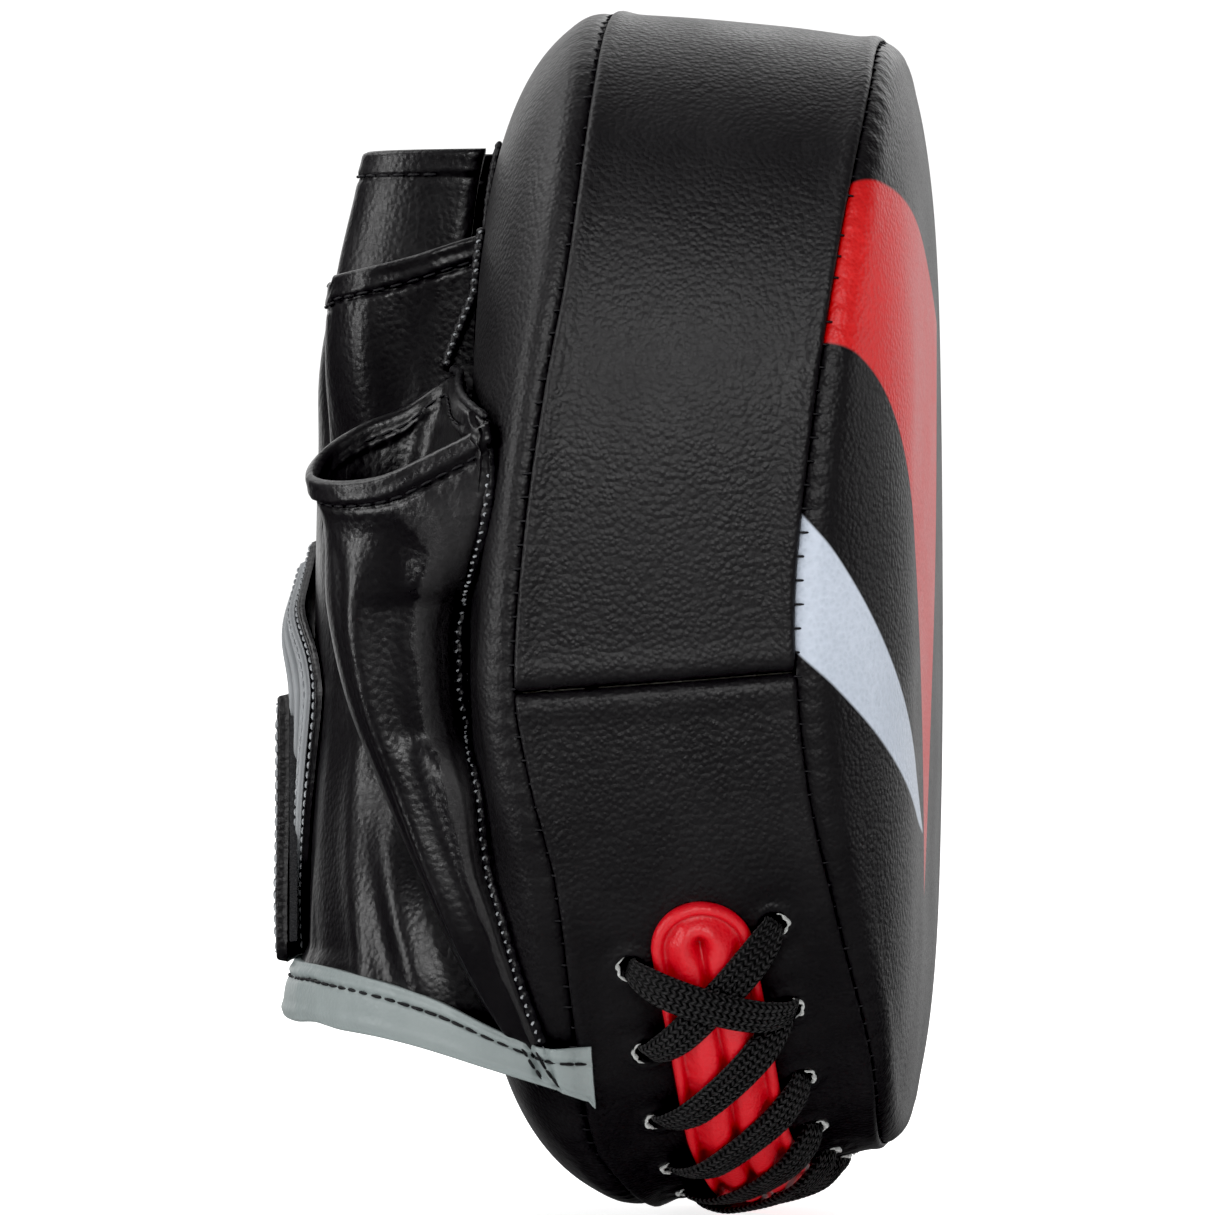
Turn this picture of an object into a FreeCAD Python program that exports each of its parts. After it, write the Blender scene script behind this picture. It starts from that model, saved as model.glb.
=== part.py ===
"""Left-hand boxing focus mitt, built from separate sewn, stuffed and laced pieces.

Millimetres. +Z points to the finger end, -Y to the striking face, +Y to the glove that holds the hand,
and the thumb is on the -X side. The pad is symmetrical about X = 0.
"""
import FreeCAD, Part
import math
import os
from FreeCAD import Vector

# ---- driving dimensions -------------------------------------------------------------------------------
# pad outline as a superellipse, at the front and at the back seam of the edge band
OUTLINE_POWER = 2.5
FRONT_MID_Z, FRONT_HALF_H, FRONT_HALF_W = 115.0, 103.0, 87.0
BACK_MID_Z, BACK_HALF_H, BACK_HALF_W = 111.9, 111.3, 91.0
FACE_Y, BACK_Y = -60.5, 20.0                # planes of the striking face and of the hand side
FACE_FLAT, BACK_FLAT = 0.58, 0.61           # size of each flat compared with its outline
BAND_CROWN = 0.8                            # outward swell of the edge band
# height and depth of the two seams of the edge band: the pad is bent, its middle nearer the hand
FRONT_SEAM = [(10, -52.6), (30, -53.2), (57, -48.0), (80, -43.4), (110, -41.2), (142, -43.9), (179, -48.7),
              (205, -52.2), (220, -52.4)]
BACK_SEAM = [(0, -10.0), (6, -6.4), (14, -2.6), (38, -0.6), (62, 1.6), (80, 5.8), (98, 8.6), (125, 6.9),
             (150, 3.6), (175, -0.3), (205, -2.6), (224, -3.0)]
BAND_SEAM_Z = 98.5                          # cross seam where upper and lower band meet
LEATHER, BAND_LEATHER, GLOVE_LEATHER = 2.0, 2.0, 1.8
SEW_GAP = 0.3                               # gap left between sewn neighbours
FOAM_INSET = 4.3                            # foam edge behind the leather surface, room for the lace
LAYERS = [("foam_face", FACE_Y + 2.4, -34.0), ("foam_core", -33.8, -6.0), ("stiffener_board", -5.8, -3.6),
          ("foam_back", -3.4, BACK_Y - 2.4)]
# red tongue under the lace, along the lower band
TONGUE_TOP_Z, TONGUE_HALF_W, TONGUE_CROWN, TONGUE_EDGE, PIPING_R = 58.0, 9.0, 3.3, 1.9, 0.95
HOLE_OFFSET, HOLE_R, HOLE_PITCH, HOLE_LEAD, HOLE_SLANT = 13.4, 2.5, 17.0, 5.0, 5.0
LACE_W, LACE_T = 7.0, 1.2
# glove: half widths, crest and power of its cross-sections, by height
CUFF_NEAR = [(20, 61.5), (26, 65.0), (40, 69.0), (62, 66.0), (80, 64.0)]
CUFF_FAR = [(20, 58.0), (30, 57.0), (45, 54.0), (62, 54.0), (80, 54.0)]
SHELL_NEAR = [(55, 61.0), (62, 58.5), (75, 52.5), (90, 49.5), (120, 47.5), (153, 46.0)]
SHELL_FAR = [(55, 54.0), (100, 53.0), (125, 49.0), (153, 46.0)]
CREST = [(20, 55.0), (46, 54.6), (98, 54.4), (125, 53.0), (153, 50.4)]
ARCH_POWER = 2.4
CUFF_TOP_Z, SHELL_TOP_Z = 61.6, 152.4
RIM_FOOT_Z, RIM_CREST_Z, BINDING_H = 20.5, 35.0, 9.5
FINGERS = [("index", -31.5, 179.0, 45.5, 26.0), ("middle", -10.5, 198.0, 46.5, 25.0),
           ("ring", 10.5, 193.0, 45.5, 25.0), ("little", 31.5, 178.0, 43.5, 24.0)]
STALL_HALF_W, HEM_H, HEM_T, HEM_GAP = 8.9, 5.0, 1.1, 0.25
# thumb stall: height, centre X and Y, half size in X and Y
THUMB = [(62.4, -67.5, 25.6, 7.0, 5.0), (80, -66.5, 28.0, 9.4, 7.2), (100, -66.0, 30.6, 11.4, 9.6),
         (120, -66.0, 33.0, 12.8, 12.0), (142, -66.0, 35.6, 13.6, 14.4)]
THUMB_TILT = 7.0                            # rise of the mouth from the outer side to the pad
BALL_Z, BALL_R, BALL_H, BALL_SKIN = 104.0, 25.0, 9.0, 1.4
LINING_T = 0.8
# hook-and-loop wrist strap, by angle round the glove: 0 at the thumb side, 180 at the far side
STRAP_LOW_Z, STRAP_HIGH_Z = 46.0, 96.0
ANCHOR_DEG, ROOT_DEG, MID_DEG, TIP_DEG = 158.0, 140.0, 104.0, 62.0
BASE_T, LOOP_T, HOOK_T, STRAP_T, LAYER_GAP = 2.0, 1.4, 1.2, 2.4, 0.3
# puts the lowest point at Z = 0 and the middle of the depth at Y = 0
SHIFT = Vector(0, -0.91, 1.78)


# ---- small helpers ------------------------------------------------------------------------------------
def along(table, at):
    """Smooth value from (position, value) pairs."""
    at = min(max(at, table[0][0]), table[-1][0])
    i = max(k for k in range(len(table) - 1) if table[k][0] <= at)
    (x0, y0), (x1, y1) = table[i], table[i + 1]

    def slope(k):
        low, high = max(k - 1, 0), min(k + 1, len(table) - 1)
        return (table[high][1] - table[low][1]) / (table[high][0] - table[low][0])

    w, t = x1 - x0, (at - x0) / (x1 - x0)
    return ((2 * t**3 - 3 * t**2 + 1) * y0 + (t**3 - 2 * t**2 + t) * w * slope(i)
            + (3 * t**2 - 2 * t**3) * y1 + (t**3 - t**2) * w * slope(i + 1))


def spread(low, high, count):
    return [low + (high - low) * i / (count - 1) for i in range(count)]


def reach(angle, half_w, half_h, power):
    """Distance from the centre to a superellipse, angle measured from its half_h axis."""
    w, h = abs(math.sin(angle)) / half_w, abs(math.cos(angle)) / half_h
    return 1.0 / (w**power + h**power) ** (1.0 / power)


def surface_face(points):
    surface = Part.BSplineSurface()
    surface.interpolate(points)
    return surface.toShape()


def border(points, side):
    """Edge of the surface through points, on one of its four sides."""
    surface = Part.BSplineSurface()
    surface.interpolate(points)
    u0, u1, v0, v1 = surface.bounds()
    curve = {"first": lambda: surface.uIso(u0), "last": lambda: surface.uIso(u1),
             "left": lambda: surface.vIso(v0), "right": lambda: surface.vIso(v1)}[side]()
    return curve.toShape()


def solid_from(faces):
    shell = Part.makeCompound(faces)
    shell.sewShape(0.02)
    shells = shell.Shells
    solid = Part.makeSolid(shells[0])
    if solid.Volume < 0:
        solid.reverse()
    return solid


def slab(outer, inner):
    """Closed solid between two open surfaces given by matching grids of points."""
    faces = [surface_face(outer), surface_face(inner)]
    for side in ("first", "last", "left", "right"):
        faces.append(Part.makeRuledSurface(border(outer, side), border(inner, side)))
    return solid_from(faces)


def mirrored(shape):
    return shape.mirror(Vector(0, 0, 0), Vector(1, 0, 0))


# ---- pad envelope -------------------------------------------------------------------------------------
def seam_point(angle, front):
    if front:
        r = reach(angle, FRONT_HALF_W, FRONT_HALF_H, OUTLINE_POWER)
        z = FRONT_MID_Z + r * math.cos(angle)
        return Vector(-r * math.sin(angle), along(FRONT_SEAM, z), z)
    r = reach(angle, BACK_HALF_W, BACK_HALF_H, OUTLINE_POWER)
    z = BACK_MID_Z + r * math.cos(angle)
    return Vector(-r * math.sin(angle), along(BACK_SEAM, z), z)


def envelope(angle, v):
    """Pad surface. v: 0 edge of the face flat, 1 front seam, 2 back seam, 3 edge of the back flat."""
    if 1 <= v <= 2:
        a, b = seam_point(angle, True), seam_point(angle, False)
        swell = BAND_CROWN * math.sin(math.pi * (v - 1))
        out = Vector(-math.sin(angle), 0, math.cos(angle))
        return a + (b - a) * (v - 1) + out * swell
    front = v < 1
    phi = math.pi / 2 * ((1 - v) if front else (v - 2))
    seam = seam_point(angle, front)
    middle_z, flat, plane = (FRONT_MID_Z, FACE_FLAT, FACE_Y) if front else (BACK_MID_Z, BACK_FLAT, BACK_Y)
    scale = 1 - (1 - flat) * (1 - math.cos(phi))
    return Vector(seam.x * scale, seam.y + (plane - seam.y) * math.sin(phi),
                  middle_z + (seam.z - middle_z) * scale)


def skin_point(angle, v, inset, low=0.0, high=3.0):
    """Envelope point moved inwards by inset; low and high keep the slope on one side of a seam."""
    step = 1e-4
    v0, v1 = max(v - step, low), min(v + step, high)
    along_v = envelope(angle, v1) - envelope(angle, v0)
    along_a = envelope(angle + step, v) - envelope(angle - step, v)
    normal = along_a.cross(along_v)
    normal.normalize()
    point = envelope(angle, v)
    if normal.dot(point - Vector(0, -20, 112)) < 0:
        normal = normal * -1
    return point - normal * inset


def back_depth(x, z):
    """Depth of the hand side's surface at x, z."""
    dx, dz = abs(x), z - BACK_MID_Z
    r = math.hypot(dx, dz)
    if r < 1e-6:
        return BACK_Y
    angle = math.atan2(dx, dz)
    full = reach(angle, BACK_HALF_W, BACK_HALF_H, OUTLINE_POWER)
    part = min(max((1 - r / full) / (1 - BACK_FLAT), 0.0), 1.0)
    seam_y = along(BACK_SEAM, BACK_MID_Z + full * math.cos(angle))
    return seam_y + (BACK_Y - seam_y) * math.sin(math.acos(1 - part))


HALF_ROUND = spread(0.0, math.pi, 33)


def closed_panel(vs, low, high, thickness):
    """Dome skin of one side: ring from the seam to the flat, and the flat itself, on both halves."""
    outer = [[skin_point(a, v, 0.0, low, high) for v in vs] for a in HALF_ROUND]
    inner = [[skin_point(a, v, thickness, low, high) for v in vs] for a in HALF_ROUND]
    flat, seam = ("left", "right") if vs[0] == 0.0 else ("right", "left")
    half = [surface_face(outer), surface_face(inner),
            Part.makeRuledSurface(border(outer, seam), border(inner, seam))]
    caps = []
    for grid in (outer, inner):
        edge = border(grid, flat)
        caps.append(Part.Face(Part.Wire([edge, mirrored(edge)])))
    return solid_from(half + [mirrored(f) for f in half] + caps)


def band_panel(angles):
    rows = spread(1.0 + 0.006, 2.0 - 0.006, 9)
    outer = [[skin_point(a, v, 0.0, 1.0, 2.0) for v in rows] for a in angles]
    inner = [[skin_point(a, v, BAND_LEATHER, 1.0, 2.0) for v in rows] for a in angles]
    return slab(outer, inner)


def filled_pad(inset):
    rows = spread(0.0, 1.0, 8) + spread(1.0, 2.0, 7)[1:-1] + spread(2.0, 3.0, 8)
    grid = [[skin_point(a, v, inset) for v in rows] for a in HALF_ROUND]
    half = surface_face(grid)
    caps = []
    for side in ("left", "right"):
        edge = border(grid, side)
        caps.append(Part.Face(Part.Wire([edge, mirrored(edge)])))
    return solid_from([half, mirrored(half)] + caps)


# ---- positions along the lower band -------------------------------------------------------------------
ARC = []
_steps = 720
_previous, _length = envelope(math.pi, 1.5), 0.0
for _i in range(_steps + 1):
    _a = math.pi - math.pi * _i / _steps
    _p = envelope(_a, 1.5)
    _length += _p.distanceToPoint(_previous)
    _previous = _p
    ARC.append((_length, _a, _p.z))


def arc_angle(s):
    """Outline angle at arc length s from the lowest point, s < 0 on the thumb side."""
    size = abs(s)
    i = min(range(len(ARC)), key=lambda k: abs(ARC[k][0] - size))
    j = min(i + 1, len(ARC) - 1) if ARC[i][0] <= size else i - 1
    i, j = sorted((i, j))
    t = 0.0 if ARC[i][0] == ARC[j][0] else (size - ARC[i][0]) / (ARC[j][0] - ARC[i][0])
    a = ARC[i][1] + (ARC[j][1] - ARC[i][1]) * t
    return a if s <= 0 else 2 * math.pi - a


def band_width(angle):
    return seam_point(angle, True).distanceToPoint(seam_point(angle, False))


def band_point(s, across, height):
    """Point over the lower band: s along it, across from its middle towards the hand, height outwards."""
    a = arc_angle(s)
    return skin_point(a, 1.5 + across / band_width(a), -height, 1.0, 2.0)


TONGUE_S = next(s for s, a, z in ARC if z >= TONGUE_TOP_Z)


def tongue_height(across):
    part = min(abs(across) / TONGUE_HALF_W, 1.0)
    return TONGUE_EDGE + (TONGUE_CROWN - TONGUE_EDGE) * math.sqrt(max(1 - part**2.4, 0.0))


def tongue():
    stations = spread(-TONGUE_S, TONGUE_S, 61)
    outer, inner = [], []
    for s in stations:
        close = max(1 - (TONGUE_S - abs(s)) / 7.0, 0.0)      # rounds both ends
        width = TONGUE_HALF_W * math.sqrt(1 - 0.86 * close**2)
        outer.append([band_point(s, width * t, SEW_GAP + tongue_height(TONGUE_HALF_W * t))
                      for t in spread(-1, 1, 9)])
        inner.append([band_point(s, width * t, SEW_GAP) for t in spread(-1, 1, 9)])
    return slab(outer, inner)


def piping(side):
    """Round cord sewn along one edge of the tongue."""
    stations = spread(-TONGUE_S + 6, TONGUE_S - 6, 61)
    centre = side * (TONGUE_HALF_W + PIPING_R + 0.15)
    rings = []
    for s in stations:
        middle = band_point(s, centre, SEW_GAP + 0.1 + PIPING_R)
        out = band_point(s, centre, SEW_GAP + 1.1 + PIPING_R) - middle
        across = band_point(s, centre + 1.0, SEW_GAP + 0.1 + PIPING_R) - middle
        across = across - out * across.dot(out)
        across.normalize()
        rings.append([middle + across * (PIPING_R * math.cos(math.tau * k / 12))
                      + out * (PIPING_R * math.sin(math.tau * k / 12)) for k in range(13)])
    skin = surface_face(rings)
    ends = [Part.Face(Part.Wire([border(rings, "first")])), Part.Face(Part.Wire([border(rings, "last")]))]
    return solid_from([skin] + ends)


def lace_holes():
    """Stations of the front and back holes of each pair, the back one a little further on."""
    count = int((2 * TONGUE_S - 2 * HOLE_LEAD - HOLE_SLANT) / HOLE_PITCH) + 1
    pitch = (2 * TONGUE_S - 2 * HOLE_LEAD - HOLE_SLANT) / (count - 1)
    first = -TONGUE_S + HOLE_LEAD
    return [(first + pitch * i, first + pitch * i + HOLE_SLANT) for i in range(count)]


def hole_cutters():
    cutters = []
    for front, back in lace_holes():
        for s, across in ((front, -HOLE_OFFSET), (back, HOLE_OFFSET)):
            low, high = band_point(s, across, -5), band_point(s, across, 5)
            axis = high - low
            cutters.append(Part.makeCylinder(HOLE_R, axis.Length, low, axis))
    return cutters


def lace_runs():
    """Runs of the lace from hole to hole, over the tongue and under the band.

    Each run is a list of (s, across, height, width) with the lace's width square to the run.
    """
    top = SEW_GAP + TONGUE_CROWN + 0.8 + LACE_T / 2
    under = -(BAND_LEATHER + 0.5 + LACE_T / 2)
    rise = [(0.0, -0.4, 2.4), (0.015, 1.6, 2.6), (0.06, 3.7, 3.4), (0.13, 4.8, 4.8), (0.22, top - 0.1, 6.2),
            (0.34, top, LACE_W)]
    over_shape = rise + [(0.5, top, LACE_W)] + [(1 - t, h, w) for t, h, w in reversed(rise)]
    dip = [(0.0, -1.3, 2.2), (0.02, -2.3, 2.2), (0.1, under, 2.6)]
    under_shape = dip + [(0.5, under, 4.0)] + [(1 - t, h, w) for t, h, w in reversed(dip)]
    holes, runs = lace_holes(), []

    def run(s0, a0, s1, a1, shape, lift=0.0, bow=0.0):
        runs.append([(s0 + (s1 - s0) * t, a0 + (a1 - a0) * t + bow * math.sin(math.pi * t),
                      height + lift * math.sin(math.pi * t) ** 0.7, width) for t, height, width in shape])

    front, back = [h[0] for h in holes], [h[1] for h in holes]
    inner, outer = HOLE_OFFSET - 0.9, HOLE_OFFSET + 0.9
    run(front[0], -HOLE_OFFSET, back[1], HOLE_OFFSET, over_shape)
    run(back[1], HOLE_OFFSET, back[0], HOLE_OFFSET, under_shape)
    run(back[0], HOLE_OFFSET, front[1], -outer, over_shape, lift=2.3)
    run(front[1], -outer, front[2], -HOLE_OFFSET, under_shape)
    run(front[2], -HOLE_OFFSET, back[3], HOLE_OFFSET, over_shape)
    run(back[3], HOLE_OFFSET, back[2], HOLE_OFFSET, under_shape)
    run(back[2], HOLE_OFFSET, front[1], -inner, over_shape, lift=0.6)
    run(front[1], -inner, front[3], -HOLE_OFFSET, under_shape, bow=5.0)
    for i in range(3, len(holes) - 1):
        run(front[i], -HOLE_OFFSET, back[i + 1], HOLE_OFFSET, over_shape)
        if i + 1 < len(holes) - 1:
            run(back[i + 1], HOLE_OFFSET, front[i + 1], -HOLE_OFFSET, under_shape)
    return runs


def ribbon(nodes, pitch=2.0):
    """Flat braid along a run."""
    at = [0.0]
    for a, b in zip(nodes, nodes[1:]):
        at.append(at[-1] + band_point(*a[:3]).distanceToPoint(band_point(*b[:3])))
    tables = [[(l, n[c]) for l, n in zip(at, nodes)] for c in range(4)]
    rows = [tuple(along(t, l) for t in tables) for l in spread(0.0, at[-1], max(int(at[-1] / pitch), 8))]
    ds, da = nodes[-1][0] - nodes[0][0], nodes[-1][1] - nodes[0][1]
    size = math.hypot(ds, da)
    centres = [band_point(*row[:3]) for row in rows]
    outer, inner = [], []
    for i, (s, across, height, width) in enumerate(rows):
        forward = centres[min(i + 1, len(rows) - 1)] - centres[max(i - 1, 0)]
        forward.normalize()
        side = band_point(s - da / size, across + ds / size, height) - centres[i]
        side = side - forward * side.dot(forward)
        side.normalize()
        up = forward.cross(side)
        up.normalize()
        for grid, lift in ((outer, LACE_T / 2), (inner, -LACE_T / 2)):
            grid.append([centres[i] + side * (width * t) + up * lift for t in (-0.5, -0.17, 0.17, 0.5)])
    return slab(outer, inner)


# ---- glove --------------------------------------------------------------------------------------------
def arch(angle, z, out, near, far, crest, power=ARCH_POWER, middle=0.0, base=None):
    """Point of a glove cross-section: angle 0 at the thumb-side foot, pi at the far foot."""
    x_near, x_far = middle - near, middle + far
    if base is None:
        share = (1 - math.cos(angle)) / 2
        base = (back_depth(x_near + 2.2, z) * (1 - share) + back_depth(x_far - 2.2, z) * share)
        base = min(base, BACK_Y) + SEW_GAP
    half = (near if math.cos(angle) > 0 else far) + out
    r = reach(angle - math.pi / 2, half, crest + out - base, power)
    return Vector(middle - r * math.cos(angle), base + r * math.sin(angle), z)


def shell_point(angle, z, out):
    return arch(angle, z, out, along(SHELL_NEAR, z), along(SHELL_FAR, z), along(CREST, z))


def cuff_point(angle, z, out):
    return arch(angle, z, out, along(CUFF_NEAR, z), along(CUFF_FAR, z), along(CREST, z))


def closure_point(angle, z, out):
    return arch(angle, z, out + 0.35, 66.0, 54.3, along(CREST, z), base=BACK_Y + SEW_GAP)


def rim_z(angle):
    return RIM_FOOT_Z + (RIM_CREST_Z - RIM_FOOT_Z) * math.sin(angle) ** 1.2


def arch_slab(point, angles, heights, outside, inside):
    outer = [[point(a, h(a), outside) for h in heights] for a in angles]
    inner = [[point(a, h(a), inside) for h in heights] for a in angles]
    return slab(outer, inner)


def level(z):
    return lambda angle: z


def stall_point(finger, angle, z, out):
    name, middle, mouth, crest_top, _ = finger
    t = (z - SHELL_TOP_Z) / (mouth - SHELL_TOP_Z)
    share = min(abs(middle) / 46.0, 1.0)
    crest_low = 20.3 + 30.1 * (1 - share**2.4) ** (1 / 2.4)
    crest = crest_low + (crest_top - crest_low) * t
    return arch(angle, z, out, STALL_HALF_W, STALL_HALF_W, crest, 3.2 - 0.9 * t, middle,
                min(back_depth(middle, z), BACK_Y) + SEW_GAP)


ARCH_ANGLES = spread(0.0, math.pi, 31)


def tube(rows, closed_points=24):
    """Tube wall from matching outer and inner rings, open at both ends."""
    outer = [[outside(math.tau * k / closed_points) for k in range(closed_points + 1)] for outside, _ in rows]
    inner = [[inside(math.tau * k / closed_points) for k in range(closed_points + 1)] for _, inside in rows]
    faces = [surface_face(outer), surface_face(inner)]
    for side in ("first", "last"):
        faces.append(Part.makeRuledSurface(border(outer, side), border(inner, side)))
    return solid_from(faces)


def thumb_ring(z, out, mouth_share=0.0):
    """Function of angle giving a ring of the thumb stall; the mouth is tilted by mouth_share."""
    def point(angle):
        c, s = math.cos(angle), math.sin(angle)
        rise = THUMB_TILT * mouth_share * -s
        height = z + rise
        cx, cy, hx, hy = (along([(row[0], row[i]) for row in THUMB], height) for i in (1, 2, 3, 4))
        return Vector(cx + (hx + out) * c, cy + (hy + out) * s, height)
    return point


def cap(radius, height, y):
    """Dome of a given base radius and height standing on the plane y, axis +Y."""
    ball_r = (radius**2 + height**2) / (2 * height)
    ball = Part.makeSphere(ball_r, Vector(0, y + height - ball_r, BALL_Z))
    keep = Part.makeBox(200, 100, 200, Vector(-100, y, BALL_Z - 100))
    return ball.common(keep)


# ---- the pieces ---------------------------------------------------------------------------------------
pieces = {}

# stuffed pad
pieces["face_panel"] = closed_panel(spread(0.0, 1.0, 11), 0.0, 1.0, LEATHER)
pieces["back_panel"] = closed_panel(spread(2.0, 3.0, 11), 2.0, 3.0, LEATHER)
seam_angle = next(a for s, a, z in ARC if z >= BAND_SEAM_Z)
edge_gap = 0.0022
pieces["gusset_upper"] = band_panel(spread(-seam_angle + edge_gap, seam_angle - edge_gap, 57))
lower = band_panel(spread(seam_angle + edge_gap, math.tau - seam_angle - edge_gap, 57))
pieces["gusset_lower"] = lower.cut(Part.makeCompound(hole_cutters()))
stuffing = filled_pad(FOAM_INSET)
for name, y0, y1 in LAYERS:
    pieces[name] = stuffing.common(Part.makeBox(300, y1 - y0, 300, Vector(-150, y0, -30)))

# tongue, piping and lace
pieces["tongue"] = tongue()
pieces["tongue_piping_front"] = piping(-1)
pieces["tongue_piping_back"] = piping(1)
pieces["lace"] = Part.makeCompound([ribbon(run) for run in lace_runs()])

# glove
cuff_heights = [lambda a, t=t: rim_z(a) + 1.0 + (CUFF_TOP_Z - rim_z(a) - 1.0) * t for t in spread(0, 1, 7)]
pieces["cuff_panel"] = arch_slab(cuff_point, ARCH_ANGLES, cuff_heights, 0.0, -GLOVE_LEATHER)
binding = [lambda a, t=t: rim_z(a) + BINDING_H * t for t in spread(0, 1, 4)]
pieces["cuff_binding"] = arch_slab(cuff_point, ARCH_ANGLES, binding, 1.5, 0.1)
pieces["hand_shell"] = arch_slab(shell_point, ARCH_ANGLES,
                                 [level(z) for z in spread(CUFF_TOP_Z + SEW_GAP, SHELL_TOP_Z, 11)],
                                 0.0, -GLOVE_LEATHER)
for finger in FINGERS:
    name, middle, mouth, crest, _ = finger
    point = lambda a, z, out, finger=finger: stall_point(finger, a, z, out)
    pieces["stall_" + name] = arch_slab(point, ARCH_ANGLES,
                                        [level(z) for z in spread(SHELL_TOP_Z + SEW_GAP, mouth, 6)],
                                        0.0, -GLOVE_LEATHER)
    hem_angles = spread(0.42, math.pi - 0.42, 21)
    pieces["hem_" + name] = arch_slab(point, hem_angles,
                                      [level(z) for z in spread(mouth - HEM_H, mouth + 0.4, 3)],
                                      HEM_GAP + HEM_T, HEM_GAP)
thumb_zs = spread(THUMB[0][0], THUMB[-1][0], 9)
pieces["thumb_stall"] = tube([(thumb_ring(z, 0.0, i / 8), thumb_ring(z, -GLOVE_LEATHER, i / 8))
                              for i, z in enumerate(thumb_zs)])
mouth_z = THUMB[-1][0]
pieces["hem_thumb"] = tube([(thumb_ring(z, HEM_T + HEM_GAP, 1.0), thumb_ring(z, HEM_GAP, 1.0))
                            for z in spread(mouth_z - HEM_H, mouth_z + 0.4, 3)])

# inside of the glove
half_x = 43.0
pieces["palm_lining"] = Part.makeBox(2 * half_x - 4, LINING_T, 100,
                                     Vector(-half_x + 2, BACK_Y + SEW_GAP, 48)).cut(
    Part.makeCylinder(BALL_R + 0.4, 10, Vector(0, BACK_Y - 2, BALL_Z), Vector(0, 1, 0)))
ball_y = BACK_Y + SEW_GAP
ball = cap(BALL_R - BALL_SKIN, BALL_H - BALL_SKIN, ball_y)
pieces["palm_ball_foam"] = ball
pieces["palm_ball_cover"] = cap(BALL_R, BALL_H, ball_y).cut(cap(BALL_R - BALL_SKIN + 0.1,
                                                                BALL_H - BALL_SKIN + 0.1, ball_y))

# closure
rad = math.radians


def closure(deg0, deg1, z0, z1, low, thick, count=15):
    angles = spread(rad(deg0), rad(deg1), count)
    return arch_slab(closure_point, angles, [level(z) for z in spread(z0, z1, 5)], low + thick, low)


stack = [0.0, BASE_T + 0.05, BASE_T + 0.05 + LOOP_T + LAYER_GAP]
pieces["closure_base"] = closure(TIP_DEG - 8, 138, STRAP_LOW_Z + 2, 127.0, stack[0], BASE_T)
pieces["loop_patch"] = closure(TIP_DEG - 3, 112, STRAP_LOW_Z + 4, STRAP_HIGH_Z - 4, stack[1], LOOP_T)
strap_low = stack[2] + HOOK_T + 0.05
pieces["hook_patch"] = closure(TIP_DEG + 3, MID_DEG - 5, STRAP_LOW_Z + 4, STRAP_HIGH_Z - 4, stack[2], HOOK_T)
pieces["strap_tip"] = closure(TIP_DEG, MID_DEG - 0.4, STRAP_LOW_Z, STRAP_HIGH_Z, strap_low, STRAP_T)
pieces["strap_root"] = closure(MID_DEG, ROOT_DEG, STRAP_LOW_Z, STRAP_HIGH_Z, strap_low, STRAP_T)
pieces["strap_anchor"] = closure(ROOT_DEG + 0.6, ANCHOR_DEG, STRAP_LOW_Z, STRAP_HIGH_Z, 0.0,
                                 strap_low + STRAP_T)

os.makedirs("parts", exist_ok=True)
for name, shape in pieces.items():
    shape.translate(SHIFT)
    shape.exportStep("parts/" + name + ".step")
    box = shape.BoundBox
    print("%-20s solids %d valid %s volume %.0f  X %.1f..%.1f  Y %.1f..%.1f  Z %.1f..%.1f" % (
        name, len(shape.Solids), shape.isValid(), shape.Volume, box.XMin, box.XMax, box.YMin, box.YMax,
        box.ZMin, box.ZMax))
hinge = {"root": closure_point(rad(ROOT_DEG + 0.3), 71.0, strap_low + STRAP_T),
         "middle": closure_point(rad(MID_DEG - 0.2), 71.0, strap_low + STRAP_T)}
for name, point in hinge.items():
    print(name, point + SHIFT)
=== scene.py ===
"""Looks of a left-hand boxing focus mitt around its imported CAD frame.

Lengths are in millimetres in the pad's own axes until a mesh is made, which turns them into metres in the
row frame. Angles round the pad's outline start at the top and pass the thumb side first.
"""
import math

import bmesh
import bpy
import numpy as np
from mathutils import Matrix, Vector


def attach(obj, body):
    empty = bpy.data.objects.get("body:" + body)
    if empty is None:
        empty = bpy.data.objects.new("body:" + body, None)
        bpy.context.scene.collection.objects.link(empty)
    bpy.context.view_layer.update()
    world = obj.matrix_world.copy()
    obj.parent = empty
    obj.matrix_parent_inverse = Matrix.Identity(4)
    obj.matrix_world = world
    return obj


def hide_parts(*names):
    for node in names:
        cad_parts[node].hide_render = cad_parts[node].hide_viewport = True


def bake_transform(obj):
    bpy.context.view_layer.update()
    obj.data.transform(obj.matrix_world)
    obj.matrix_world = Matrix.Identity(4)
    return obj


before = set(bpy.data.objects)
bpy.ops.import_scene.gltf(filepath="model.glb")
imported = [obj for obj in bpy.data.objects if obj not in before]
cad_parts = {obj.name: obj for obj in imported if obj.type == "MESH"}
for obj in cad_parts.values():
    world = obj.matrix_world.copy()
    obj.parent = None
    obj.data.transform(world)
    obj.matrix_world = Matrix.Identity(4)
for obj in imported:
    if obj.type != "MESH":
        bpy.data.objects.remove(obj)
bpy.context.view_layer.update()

PI, TAU = math.pi, math.tau
MM = 0.001
ROW_SHIFT = np.array([0.0, -0.91, 1.78])          # from the pad's axes to the row frame

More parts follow.
